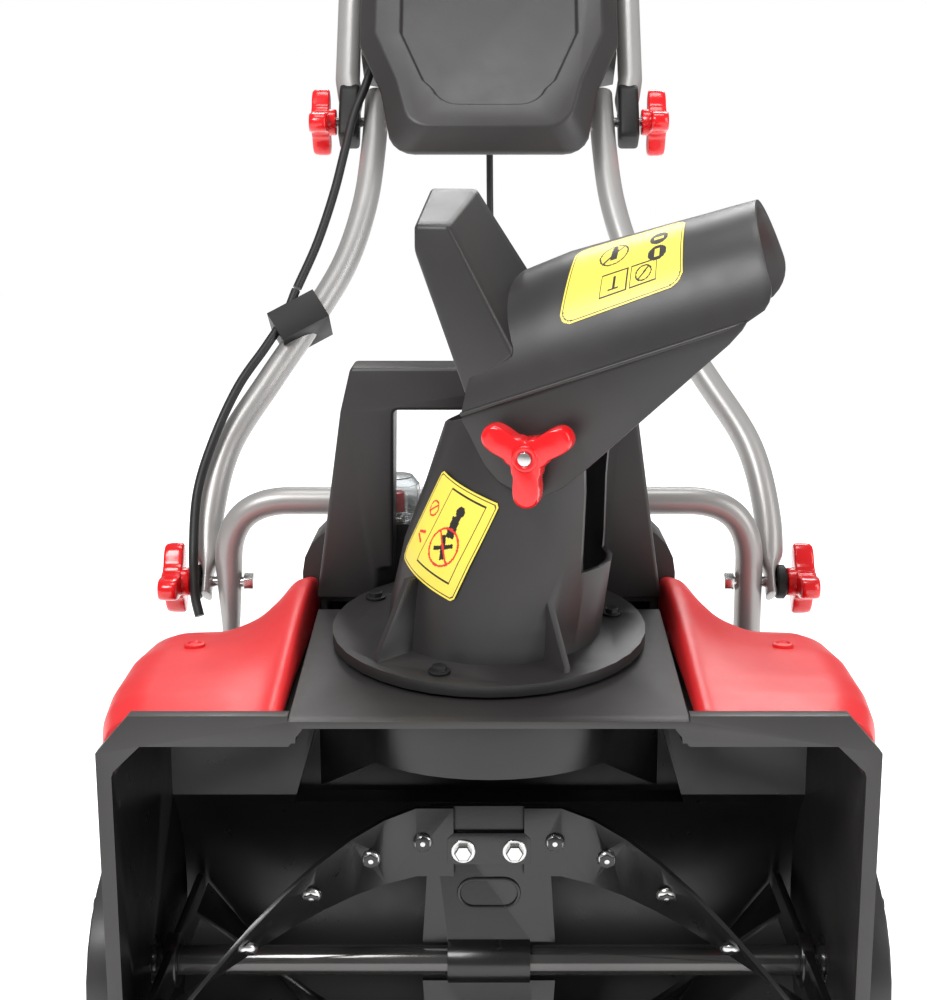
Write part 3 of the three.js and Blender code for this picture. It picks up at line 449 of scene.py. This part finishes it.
soft_light("key", (-0.9, -1.5, 2.0), (0, 0, 0.35), (0.8, 0.8), 33)
soft_light("fill", (1.6, -1.0, 1.1), (0, 0, 0.35), (0.7, 1.5), 15)
soft_light("rim", (0.2, 1.6, 1.9), (0, 0, 0.5), (1.6, 0.7), 30)
soft_light("top", (0, -0.1, 2.3), (0, 0, 0.3), (1.0, 0.6), 14)

floor_mat = material("studio_floor", (0.80, 0.80, 0.80), 0.9, grain=200, bump=0.02, mottle=0.01)
floor_mat.node_tree.nodes["Principled BSDF"].inputs["Emission Color"].default_value = (1, 1, 1, 1)
floor_mat.node_tree.nodes["Principled BSDF"].inputs["Emission Strength"].default_value = 0.85
verts, faces = grid([[Vector((x, y, 0)) for x in (-6, 6)] for y in (-6, 6)])
floor_mesh = bpy.data.meshes.new("floor")
floor_mesh.from_pydata([tuple(v) for v in verts], [], faces)
floor_mesh.materials.append(floor_mat)
floor = bpy.data.objects.new("floor", floor_mesh)
bpy.context.scene.collection.objects.link(floor)

# ---- the hanging lead under the switch box ---------------------------------------------
LEAD_POINTS = [
    (0.6, 488, 617), (0.7, 487.7, 602), (0.8, 487.2, 587), (1, 486.6, 571), (1.3, 486, 555),
    (1.6, 485.4, 539), (1.9, 485, 523), (2.1, 484.7, 507), (2.2, 484.6, 491), (2.2, 484.7, 475),
    (2.1, 484.9, 459), (2, 485.1, 443), (2, 485.2, 427), (2, 485.3, 411), (2, 485.3, 395),
]
route = [at(*q) for q in LEAD_POINTS]
path = catmull(route, 4)
verts, faces = sweep(path, lambda s, whole: (2.7, 2.7), 20)
lead = piece("hanging_lead", verts, faces, CABLE, None, "cable_rubber", ["plug_lead"])
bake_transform(lead)

plug_at = route[-1] - Vector((0, 0, 0.0003))
profile = [
    (0.5, -52), (16, -52), (17.6, -50.5), (18, -48), (18, -36), (17, -32), (13, -27), (11, -24),
]
for k in range(6):
    h = -21.5 + 3.2 * k
    r = 9.8 - 0.85 * k
    profile += [(r, h), (r, h + 1.7), (r - 0.9, h + 1.9), (r - 0.9, h + 3.0)]
profile += [(4.4, -1.6), (3.4, 0), (0.5, 0)]
plug = piece(
    "lead_plug",
    *lathe(profile, plug_at, (0, 0, 1), 40),
    BLACK,
    "mid_handle",
    "black_plastic",
    ["mains_plug"],
)
pins = [
    lathe(
        [(0.3, -70.2), (1.6, -70), (2.4, -68.6), (2.4, -51), (0.3, -51)],
        plug_at + Vector((dx / 1000, 0, 0)),
        (0, 0, 1),
        20,
    )
    for dx in (-9.5, 9.5)
]
plug_pins = piece("lead_plug_pins", *merge(*pins), ZINC, "mid_handle", "black_plastic")
profile = [(0.5, 0.3), (3.4, 0.3), (3.7, 0.8)]
for k in range(5):
    r = 4.0 + 0.45 * k
    h = 4.2 * k
    profile += [(r, 2 + h), (r, 4.2 + h), (r - 0.7, 4.5 + h), (r - 0.5, 5.9 + h)]
profile += [(6.4, 23), (6.4, 24.3), (0.5, 24.3)]
relief = piece(
    "lead_strain_relief",
    *lathe(profile, route[0], (0, 0, 1), 32),
    BLACK,
    "upper_handle",
    "black_plastic",
    ["lead_relief"],
)

# ---- casing, collar, covers ------------------------------------------------------------
refine("auger_housing", [HOUSING, INTAKE_BLACK_AND_SHADE], 1.6, 3)
casing = bpy.data.objects["auger_housing_fine"]
# Faces inside the intake that face the auger get the near-black material. This paints shade over
# the whole recess, on top of the real black steel scroll low down.
for f in casing.data.polygons:
    c = f.center
    inside = c.y > at(0, 11, 0).y and abs(c.x) < 0.2126 and c.z < 0.306
    inside = inside and (abs(f.normal.z) < 0.98 or c.z < 0.30)
    toward = Vector((c.x, at(0, AUGER_Y, 0).y, 0.16)) - Vector(c)
    if inside and f.normal.dot(toward) > 0:
        f.material_index = 1
refine("chute_collar", INTAKE_BLACK_AND_SHADE, 0.6)
refine("motor_cover", HOUSING, 2.2, 3)
refine("carry_handle", HOUSING, 5.0, 3)
refine("scraper_bar", AUGER, 0.8)
LIP = [(42, 5.4), (50, 6.2), (62, 7.6), (62, 10.0), (56, 12.0), (49, 13.0), (42, 7.8)]
piece(
    "scraper_lip",
    *prism(LIP, -207, 207, lambda y, z, x: at(x, y, z)),
    AUGER,
    "machine",
    "dark_steel",
    modifiers=[bevel(0.5, 2, 20)],
)
for name, side in SIDES:
    refine("side_cover_" + name, HOUSING, 3.0, 3)

COVER = [  # depth, crest, fin, floor, width
    (10.5, 309, 311, 301, 219),
    (34, 313, 315, 301, 224),
    (60, 315, 319, 301, 226),
    (110, 316, 328, 301, 226),
    (160, 311, 336, 301, 225),
    (178, 307, 338, 301, 224),
    (200, 298, 338, 281, 221),
    (231, 289, 331, 278, 217),
]


def rounded(points, radius, steps=5):
    """A closed loop of 3-D points with each corner eased."""
    out = []
    n = len(points)
    for i, p in enumerate(points):
        a, b = points[i - 1], points[(i + 1) % n]
        ra = min(radius, (a - p).length * 1000 * 0.45) / 1000
        rb = min(radius, (b - p).length * 1000 * 0.45) / 1000
        s, e = p + (a - p).normalized() * ra, p + (b - p).normalized() * rb
        for k in range(steps + 1):
            t = k / steps
            out.append(s.lerp(p, t).lerp(p.lerp(e, t), t))
    return out


for name, side in SIDES:
    loops = []
    for before, after in zip(COVER, COVER[1:]):
        for k in range(6 if after is not COVER[-1] else 7):
            y, crest, fin, floor_z, wide = (a + (b - a) * k / 6 for a, b in zip(before, after))
            outline = [
                (-wide, floor_z - 29),
                (-214.5, floor_z - 29),
                (-196, floor_z),
                (-117, floor_z),
                (-117.5, fin - 3),
                (-122, fin),
                (-130, fin - 2),
                (-151, crest + 0.3 * (fin - crest)),
                (-172, crest),
                (20 - wide, crest - 1),
                (7 - wide, crest - 7),
                (1.5 - wide, crest - 16),
                (-wide, max(crest - 27, floor_z - 28)),
            ]
            loops.append(rounded([at(-side * x, y, z) for x, z in outline], 8))
    piece(
        "red_cover_%s_fine" % name,
        *lofted(loops),
        RED,
        "machine",
        "cover_red",
        ["red_cover_" + name],
        [bevel(1.2, 3, 50)],
        angle=50,
    )

# ---- tubes -----------------------------------------------------------------------------


def flattened(s, whole, ends, wide=12.0, thin=3.5, run=34.0, flat=14.0):
    """Half widths of a round tube that is pressed flat at the chosen ends."""
    gap = min([s] * ("start" in ends) + [whole - s] * ("end" in ends) or [1e9])
    t = min(1, max(0, (gap - flat) / (run - flat)))
    t = t * t * (3 - 2 * t)
    return wide + (10 - wide) * t, thin + (10 - thin) * t


LEG, TOP = 190, 370.6
piece(
    "lower_tube_fine",
    *sweep(
        bent(
            [at(x, LOWER[0], z) for x, z in ((-LEG, 180), (-LEG, TOP), (LEG, TOP), (LEG, 180))],
            46,
            20,
        ),
        lambda s, whole: (10, 10),
        36,
    ),
    SILVER,
    "machine",
    "tube_silver",
    ["lower_handle_tube"],
    [bevel(0.8, 2, 50)],
)
MID = [
    (206, -REACH - 11),
    (206, -REACH + 8),
    (207, -REACH + 48),
    (197, -285),
    (168, -230),
    (138, -178),
    (113, -128),
    (99, -76),
    (93.5, -26),
    (91, 27),
]
for name, side in SIDES:
    piece(
        "mid_tube_%s_fine" % name,
        *sweep(
            catmull([on_handle(side * x, s) for x, s in MID], 9),
            lambda s, whole: flattened(s, whole, ["start"]),
            36,
            HANDLE_OUT,
        ),
        SILVER,
        "mid_handle",
        "tube_silver",
        ["mid_tube_" + name],
        [bevel(0.8, 2, 50)],
    )
EAR = [(110, -12), (110, 8), (113, 22), (116, 40)]
ladder = [on_handle(-x, s) for x, s in EAR]
crown = bent(
    [on_handle(-116, 40), on_handle(-116, 345), on_handle(116, 345), on_handle(116, 40)], 48, 20
)
piece(
    "upper_tube_fine",
    *sweep(
        catmull(ladder, 6)[:-1] + crown + catmull([on_handle(x, s) for x, s in EAR], 6)[::-1][1:],
        lambda s, whole: flattened(s, whole, ["start", "end"]),
        36,
        HANDLE_OUT,
    ),
    SILVER,
    "upper_handle",
    "tube_silver",
    ["upper_handle_tube"],
    [bevel(0.8, 2, 50)],
)
bar = bent(
    [
        on_handle(-92, 178, 30),
        on_handle(-92, 322, 34),
        on_handle(92, 322, 34),
        on_handle(92, 178, 30),
    ],
    22,
    12,
)
ears = [
    sweep(
        [on_handle(side * 98, 178, 30), on_handle(side * 80, 178, 30)],
        lambda s, whole: (6, 6),
        24,
    )
    for _, side in SIDES
]
piece(
    "bail_fine",
    *merge(sweep(bar, lambda s, whole: (4, 4), 24), *ears),
    SILVER,
    "bail",
    "tube_silver",
    ["bail_lever"],
    [bevel(0.5, 2, 50)],
)


def ridged(r, h, a):
    return r + 0.25 * math.cos(28 * a) if r > 14 else r


piece(
    "grip_fine",
    *lathe(
        [(10.6, -62), (14.6, -62), (15.4, -60.5)]
        + [(15.3, -59 + 118 * k / 24) for k in range(25)]
        + [(15.4, 60.5), (14.6, 62), (10.6, 62)],
        on_handle(0, 345),
        (1, 0, 0),
        112,
        ridged,
    ),
    FOAM,
    "upper_handle",
    "tyre_rubber",
    ["grip_sleeve"],
)

# ---- knobs -----------------------------------------------------------------------------


def lobe_radius(a, reach=21.0, r=8.6, waist=13.0):
    """Edge of a three-armed knob at one angle."""
    d = abs((a + math.pi / 3) % (2 * math.pi / 3) - math.pi / 3)
    if reach * math.sin(d) < r * 0.96:
        edge = reach * math.cos(d) + math.sqrt(r * r - (reach * math.sin(d)) ** 2)
    else:
        edge = 0
    side = min(r / max(0.05, math.sin(d)), 60) * (0.86 if reach * math.sin(d) < r else 1)
    return max(edge, min(side, waist + 14 * max(0, math.cos(3 * d))) if d > 0.3 else edge, 9.5)


def knob(name, origin, axis, body, clock=0.0, thick=20):
    """Back at origin, arms lifted off it by a hub."""
    axis = Vector(axis).normalized()
    turn = Vector((0, 0, 1)).rotation_difference(axis)
    samples = 90
    raw = [lobe_radius(2 * math.pi * k / samples) for k in range(samples)]
    for _ in range(3):
        raw = [(raw[k - 1] + 2 * raw[k] + raw[(k + 1) % samples]) / 4 for k in range(samples)]
    ease = [
        (0.86, 4.6), (0.95, 4.9), (0.99, 5.8), (1.0, 7.5),
        (0.995, 12.0), (0.975, 14.6), (0.93, 15.7), (0.86, 16.0),
    ]
    loops = []
    for share, h in ease:
        loops.append(
            [
                origin
                + turn
                @ (
                    Vector(
                        (
                            (r * share) * math.cos(2 * math.pi * k / samples + clock),
                            (r * share) * math.sin(2 * math.pi * k / samples + clock),
                            h * thick / 16,
                        )
                    )
                    / 1000
                )
                for k, r in enumerate(raw)
            ]
        )
    arms = lofted(loops)
    hub = lathe([(4.4, 0), (9.8, 0), (10.4, 0.7), (10.4, 6.5), (4.4, 6.5)], origin, axis, 40)
    rim = lathe(
        [
            (4.4, thick - 1), (7.6, thick - 1), (7.6, thick + 0.6),
            (7.0, thick + 1.0), (4.9, thick + 1.0), (4.4, thick + 0.4),
        ],
        origin,
        axis,
        40,
    )
    return piece(
        name + "_fine", *merge(arms, hub, rim), KNOB, body, "knob_red", [name], angle=60
    )


for name, side in SIDES:
    knob("lower_knob_" + name, at(side * 218, *LOWER), (side, 0, 0), "lower_knob_" + name[0], 0.5)
    knob("upper_knob_" + name, on_handle(side * 124, 0), (side, 0, 0), "upper_knob_" + name[0], 0.5)
KNOB_FOOT = on_chute(43, -63.2, 450)
knob("chute_knob", KNOB_FOOT, -ACROSS, "chute_knob_body", math.radians(15))

# ---- chute and deflector ---------------------------------------------------------------
refine("chute", CHUTE_GREY, 1.0, 2, 40)
HOOD = [  # distance along the throw, half width, height, lean
    (0, 62.5, 81, 0.2),
    (40, 62.5, 81, 0.13),
    (90, 62, 75, 0.03),
    (135, 61, 69, -0.1),
    (178, 60, 62, -0.32),
]
SLOPE = math.radians(19.4)


def hood_base(u):
    return 470 + u * math.tan(SLOPE)


def hood_at(u, angle, lift=0.0):
    """A point of the hood's outside, u along the throw, angle 0 to 180 over the dome."""
    for before, after in zip(HOOD, HOOD[1:]):
        if u <= after[0]:
            break
    f = (u - before[0]) / (after[0] - before[0])
    w, h, lean = (a + (b - a) * f for a, b in zip(before[1:], after[1:]))
    c, s = math.cos(math.radians(angle)), math.sin(math.radians(angle))
    up = s * (h + lift)
    return on_chute(u + up * lean, c * (w + lift), hood_base(u) + up * math.cos(SLOPE))


def mouth(angle):
    """How far along the throw the hood reaches. Both lower corners of its mouth are round."""
    radius = 26 if angle < 90 else 17
    k = max(0, 1 - 62 * math.sin(math.radians(angle)) / radius)
    return 178 - radius * (1 - math.sqrt(max(0, 1 - k * k)))


heel = on_chute(4, 0, 500)
FAN = [180 * j / 56 for j in range(57)]
rows = [[hood_at(0, a).lerp(heel, k) for a in FAN] for k in (0.999, 0.5, 0.06, 0.015)]
rows += [[hood_at(mouth(a) * i / 36, a) for a in FAN] for i in range(37)]
piece(
    "deflector_hood",
    *grid(rows),
    CHUTE_GREY,
    "deflector_body",
    "housing_plastic",
    ["deflector"],
    [("SOLIDIFY", {"thickness": 0.0032, "offset": -1}), bevel(0.9, 3, 45)],
)
SKIRT = [
    (0, hood_base(0) - 3), (4, 460), (8, 452), (14, 441), (22, 432),
    (34, 426), (48, 424), (60, 430), (72, 440),
]


def skirt(end):
    """A side plate's outline, whose upper edge reaches to end along the throw."""
    base = hood_base(end)
    tip = [(end - 9, hood_base(end - 9) - 9), (end - 2, base - 4), (end + 1, base + 1.5)]
    return SKIRT + tip + [(u, hood_base(u) + 1.5) for u in (90, 40, 2)]


plates = [
    prism(skirt(mouth(angle)), v0, v1, lambda u, z, v: on_chute(u, v, z))
    for angle, v0, v1 in ((180, -62.0, -59.3), (0, 59.3, 62.0))
]
piece(
    "deflector_skirts", *merge(*plates), CHUTE_GREY, "deflector_body", "housing_plastic",
    modifiers=[bevel(0.9, 2, 30)],
)
beads = [
    sweep(
        [hood_at((mouth(angle) - 1) * k / 30, angle) for k in range(31)],
        lambda s, whole: (1.5, 1.5),
        12,
    )
    for angle in (180, 0)
]
piece("deflector_beads", *merge(*beads), CHUTE_GREY, "deflector_body", "housing_plastic")
NEAR = [(2, 479), (31, 505), (-8, 577), (-28, 577), (-28, 562)]
FAR = [(6, 512), (26, 548), (-7, 597), (-36, 597), (-38, 582)]
steps = 8
loops = [
    [
        on_chute(a + (c - a) * k / steps, -60 + 60 * k / steps, b + (d - b) * k / steps)
        for (a, b), (c, d) in zip(NEAR, FAR)
    ]
    for k in range(steps + 1)
]
piece(
    "deflector_grip", *lofted(loops), CHUTE_GREY, "deflector_body", "housing_plastic",
    modifiers=[bevel(2.6, 4, 18)],
)

# ---- labels: plain panels with generic marks -------------------------------------------


def label(name, surface, wide, tall, marks, body, corner=6.0, step=0.55):
    """A thin sheet on a surface. marks, at mm from its middle, gives 0 panel, 1 dark, 2 red."""
    n, m = int(wide / step), int(tall / step)
    verts, index, faces, mats = [], {}, [], []

    def vert(i, j):
        if (i, j) not in index:
            index[i, j] = len(verts)
            verts.append(surface((i / n - 0.5) * wide, (j / m - 0.5) * tall))
        return index[i, j]

    for i in range(n):
        for j in range(m):
            x, y = ((i + 0.5) / n - 0.5) * wide, ((j + 0.5) / m - 0.5) * tall
            dx = max(0, abs(x) - wide / 2 + corner)
            dy = max(0, abs(y) - tall / 2 + corner)
            if math.hypot(dx, dy) > corner:
                continue
            faces.append([vert(i, j), vert(i + 1, j), vert(i + 1, j + 1), vert(i, j + 1)])
            inner = math.hypot(dx, dy) > corner - 1.9 and math.hypot(dx, dy) < corner - 1.2
            mats.append(1 if inner else marks(x, y))
    obj = piece(name, verts, faces, [YELLOW, INK, INK_RED], body, "housing_plastic", turn=False)
    obj.data.polygons.foreach_set("material_index", mats)
    settle(obj, [("SOLIDIFY", {"thickness": 0.00015, "offset": 0})])
    return obj


def ring(x, y, cx, cy, r, w=0.9):
    return abs(math.hypot(x - cx, y - cy) - r) < w / 2


def bar_mark(x, y, cx, cy, half_x, half_y, lean=0.0):
    c, s = math.cos(lean), math.sin(lean)
    a, b = (x - cx) * c + (y - cy) * s, -(x - cx) * s + (y - cy) * c
    return abs(a) < half_x and abs(b) < half_y


def frame_mark(x, y, cx, cy, half_x, half_y, w=0.7):
    inside = abs(x - cx) < half_x and abs(y - cy) < half_y
    core = abs(x - cx) < half_x - w and abs(y - cy) < half_y - w
    return inside and not core


def hood_marks(x, y):
    if ring(x, y, -9, 9, 9, 1.1) or bar_mark(x, y, -9, 9, 8.5, 0.7, 0.78):
        return 1
    if bar_mark(x, y, -9, 9, 2.2, 5) or math.hypot(x + 9, y - 15.5) < 1.8:
        return 1
    if math.hypot(x - 21, y - 12) < 6.2 and not bar_mark(x, y, 21, 12, 3.4, 1.3):
        return 1
    if math.hypot(x - 21, y + 2) < 6.2 and not bar_mark(x, y, 21, -2, 1.5, 3.2):
        return 1
    if frame_mark(x, y, -6, -14, 8.5, 7.5) or frame_mark(x, y, 13, -14, 8.5, 7.5):
        return 1
    if ring(x, y, 13, -14, 5, 1.0) or bar_mark(x, y, 13, -14, 5, 0.6, 0.8):
        return 1
    if bar_mark(x, y, -6, -14, 0.8, 4.5) or bar_mark(x, y, -6, -18, 3.5, 0.7):
        return 1
    return 0


def tube_marks(x, y):
    if frame_mark(x, y, 5, 2, 15, 23):
        return 1
    if ring(x, y, 5, -5, 10.5, 1.3) or bar_mark(x, y, 5, -5, 10, 0.65, -0.75):
        return 2
    if math.hypot(x - 5, y - 16) < 3.2 or bar_mark(x, y, 5, 7, 3.0, 6.0, 0.15):
        return 1
    if bar_mark(x, y, 5, -5, 1.6, 7.0, 0.5) or bar_mark(x, y, 5, -5, 7, 1.2, 0.5):
        return 1
    if ring(x, y, -17, 9, 4.2, 1.0) or bar_mark(x, y, -17, 9, 4, 0.6, 0.8):
        return 2
    if bar_mark(x, y, -17, -6, 3.4, 0.8, 0.4) or bar_mark(x, y, -17, -10, 3.4, 0.8, -0.4):
        return 2
    return 0


def hood_patch(x, y):
    lean = math.radians(3)
    a, b = x * math.cos(lean) - y * math.sin(lean), x * math.sin(lean) + y * math.cos(lean)
    return hood_at(88 + a, 127 - b * 0.86, 0.35)


CHUTE_RINGS = [  # along the throw, height, radius, share of the deck's tilt
    (3, 324, 67, 1), (6, 345, 67, 0.8), (13.5, 385, 65, 0.4),
    (21, 422, 58.6, 0), (42, 490, 56.5, 0),
]


def chute_at(z, angle, lift=0.0):
    for (u0, z0, r0, t0), (u1, z1, r1, t1) in zip(CHUTE_RINGS, CHUTE_RINGS[1:]):
        if z <= z1:
            break
    f = (z - z0) / (z1 - z0)
    u, r, t = u0 + (u1 - u0) * f, r0 + (r1 - r0) * f + lift, t0 + (t1 - t0) * f
    a = math.radians(angle)
    p = on_chute(u + r * math.cos(a), r * math.sin(a), z)
    return p + Vector((0, 0, t * DECK_TILT * (p.y - at(0, CHUTE_Y, 0).y)))


def tube_patch(x, y):
    lean = math.radians(-16)
    a, b = x * math.cos(lean) - y * math.sin(lean), x * math.sin(lean) + y * math.cos(lean)
    return chute_at(398 + b, 242 + math.degrees(a / 64), 0.9)


label("hood_label", hood_patch, 76, 60, hood_marks, "deflector_body", 9)
label("tube_label", tube_patch, 54, 58, tube_marks, "chute_body", 3)

# ---- remaining CAD nodes, corners eased ------------------------------------------------
for node, mat, width in (
    ("bearing_left", ZINC, 0.3),
    ("bearing_right", ZINC, 0.3),
    ("motor", AUGER, 1.0),
    ("drive_belt", TYRE, 0.3),
    ("wheel_axle", ZINC, 0.5),
    ("auger_shaft", SHAFT, 0.8),
    ("paddle_hub", AUGER, 0.9),
    ("blade_upper_left", AUGER, 0.7),
    ("blade_upper_right", AUGER, 0.7),
    ("blade_lower_left", AUGER, 0.7),
    ("blade_lower_right", AUGER, 0.7),
    ("end_arm_left", AUGER, 0.8),
    ("end_arm_right", AUGER, 0.8),
    ("auger_pulley", SHAFT, 0.4),
    ("motor_pulley", ZINC, 0.4),
    ("chute_screw_1", BLACK, 0.4),
    ("chute_screw_2", BLACK, 0.4),
    ("chute_screw_3", BLACK, 0.4),
    ("deflector_bolt", ZINC, 0.4),
    ("lower_bolt_left", ZINC, 0.5),
    ("lower_bolt_right", ZINC, 0.5),
    ("upper_bolt_left", ZINC, 0.5),
    ("upper_bolt_right", ZINC, 0.5),
    ("cable_clip", BLACK, 2.5),
    ("reset_button", RED, 0.8),
    ("lock_button", KNOB, 0.8),
    ("trigger_switch", BLACK, 1.0),
    ("switch_box_front", HOUSING, 3.0),
    ("switch_box_rear", HOUSING, 2.5),
    ("reset_boot", CLEAR, 0.5),
):
    refine(node, mat, width, 3 if width > 2 else 2)

# ---- cables ----------------------------------------------------------------------------
CABLE_UPPER = [
    (-95, 38, 20), (-100, 20, 20), (-108, -5, 20), (-114, -35, 19),
    (-122, -75, 17), (-134, -120, 16), (-148, -158, 15),
]
CABLE_LOWER = [
    (-149, -160, 15), (-157, -183, 14), (-170, -208, 15),
    (-188, -240, 17), (-205, -285, 17), (-215, -325, 14),
]
CABLE_TAIL = [(-214.5, 289, 333), (-213.5, 283, 316), (-212.5, 279, 302), (-209, 274, 290)]
upper_run = catmull([on_handle(*p) for p in CABLE_UPPER], 10)
lower_run = catmull([on_handle(*p) for p in CABLE_LOWER] + [at(*p) for p in CABLE_TAIL], 10)
cable_top = piece(
    "cable_upper_run",
    *sweep(upper_run, lambda s, whole: (3.5, 3.5), 20),
    CABLE,
    None,
    "cable_rubber",
    ["power_cable_upper"],
)
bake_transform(cable_top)
cable_low = piece(
    "cable_lower_run",
    *sweep(lower_run, lambda s, whole: (3.5, 3.5), 20),
    CABLE,
    None,
    "cable_rubber",
    ["power_cable_lower"],
)
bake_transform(cable_low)

# ---- wheels ----------------------------------------------------------------------------


def tread(r, h, a):
    if r < 76.2:
        return r
    lug = (math.degrees(a) + (5 if h > 0 else 0)) % 10 < 6.4
    return r if lug or abs(h) < 2.5 else r - 2.6


for name, side in SIDES:
    piece(
        "wheel_%s_fine" % name,
        *lathe(
            [
                (6.4, -17), (20.5, -17), (22, -16), (23.5, -6), (25, -5), (58, -5), (60, -6),
                (63.5, -14), (65, -15.2), (72, -16.6), (75.5, -17), (77.3, -16), (78, -13.5),
                (78, -2.6), (78, -2.4), (78, 2.4), (78, 2.6), (78, 13.5), (77.3, 16),
                (75.5, 17), (72, 16.6), (65, 15.2), (63.5, 14), (60, 6), (58, 5), (25, 5),
                (23.5, 6), (22, 16), (20.5, 17), (6.4, 17),
            ],
            at(side * 172, 300, 78),
            (1, 0, 0),
            180,
            tread,
        ),
        TYRE,
        "wheel_" + name[0],
        "tyre_rubber",
        ["wheel_" + name],
        angle=28,
    )

# ---- bright bolt heads on the auger ----------------------------------------------------


def auger_at(x, r, angle, shift):
    return at(
        x,
        AUGER_Y - r * math.sin(angle) - shift * math.cos(angle),
        AUGER_Z + r * math.cos(angle) - shift * math.sin(angle),
    )


def blade_angle(x):
    t = max(0, (x - 45) / 150.5)
    return math.pi / 2 * t**1.15


heads = []
for side in (-1, 1):
    for half in (0, 1):
        for x in (41, 72, 106, 142):
            a = blade_angle(x) + half * math.pi
            axis = Vector((0, -math.cos(a), -math.sin(a)))
            heads.append(
                lathe(
                    [(6.2, 0), (6.2, 1.2), (5.4, 2.6), (3.6, 3.7), (0.2, 4.2)],
                    auger_at(side * x, 82, a, 4.2),
                    axis,
                    24,
                )
            )
for x in (-16, 16):
    for half in (0, 1):
        a = half * math.pi
        axis = Vector((0, -math.cos(a), 0))
        foot = auger_at(x, 76, a, 4.5)
        heads.append(lathe([(7.6, 0), (7.6, 1.0), (7.2, 1.3), (0.2, 1.3)], foot, axis, 32))
        heads.append(lathe([(5.6, 1), (5.6, 4.2), (4.8, 5.0), (0.2, 5.2)], foot, axis, 6))
piece("auger_rivets", *merge(*heads), ZINC, "auger", "zinc_steel")
joints = [
    prism(
        [(-26, 67), (26, 67), (26, 84), (22, 88), (-22, 88), (-26, 84)],
        0.2,
        4.6,
        lambda x, h, d, a=a: auger_at(x, h, a, d),
    )
    for a in (0, math.pi)
]


def slot_ring(cx, cz, half_x, half_z, d, turn):
    """A raised rim round a pressed slot on the hub's plate."""
    r = half_z
    loop = arc(half_x - r, 0, r, -90, 90, 10) + arc(r - half_x, 0, r, 90, 270, 10)
    run = [auger_at(cx + x, cz + z, turn, d) for x, z in loop]
    return sweep(run + run[:2], lambda s, w: (1.2, 1.2), 10, (0, 1, 0))


joints += [slot_ring(0, 46, 19, 9.5, 0.2, a) for a in (0, math.pi)]
piece(
    "auger_centre_plates",
    *merge(*joints),
    AUGER,
    "auger",
    "dark_steel",
    modifiers=[bevel(0.6, 2, 40)],
)

# ---- spacers, screws and pockets -------------------------------------------------------
for name, side in SIDES:
    outer = Vector((side, 0, 0))
    pocket = at(side * 184, 118, 316)
    piece(
        "lower_spacer_" + name,
        *lathe(
            [(4.6, 0), (11.5, 0), (12.5, 1), (12.5, 5.6), (10, 7.6), (4.6, 7.6)],
            at(side * 210, *LOWER),
            outer,
            40,
        ),
        BLACK,
        "mid_handle",
        "black_plastic",
    )
    sleeve = [(-13, -10), (-11, -19), (11, -19), (13, -10), (12, 24), (8, 32), (-8, 32), (-12, 24)]
    piece(
        "upper_sleeve_" + name,
        *prism(sleeve, 105.2, 121.5, lambda n, s, x, k=side: on_handle(k * x, s, n)),
        BLACK,
        "upper_handle",
        "black_plastic",
        modifiers=[bevel(3, 3, 20)],
    )
    piece(
        "cover_pocket_" + name,
        *lathe(
            [(3.4, -1.5), (6.6, -1.5), (6.6, 1.1), (6.0, 1.5), (4.4, 1.5), (3.8, 0.6)],
            pocket, (0, 0, 1), 32,
        ),
        RED,
        "machine",
        "cover_red",
    )
    piece(
        "cover_screw_" + name,
        *lathe([(0.2, -1), (3.6, -1), (3.6, 0.2), (1.2, 0.5), (0.2, 0.1)], pocket, (0, 0, 1), 24),
        BLACK,
        "machine",
        "black_plastic",
    )
    caps = [
        lathe(
            [(0.3, -0.5), (5.2, -0.5), (5.2, 0.8), (4.2, 1.8), (1.8, 1.8), (1.2, 1.0), (0.2, 1.0)],
            at(side * 240, y, z), outer, 24,
        )
        for y, z in ((46, 84), (66, 166), (130, 72), (236, 232), (158, 200))
    ]
    piece("side_cover_screws_" + name, *merge(*caps), BLACK, "machine", "black_plastic")
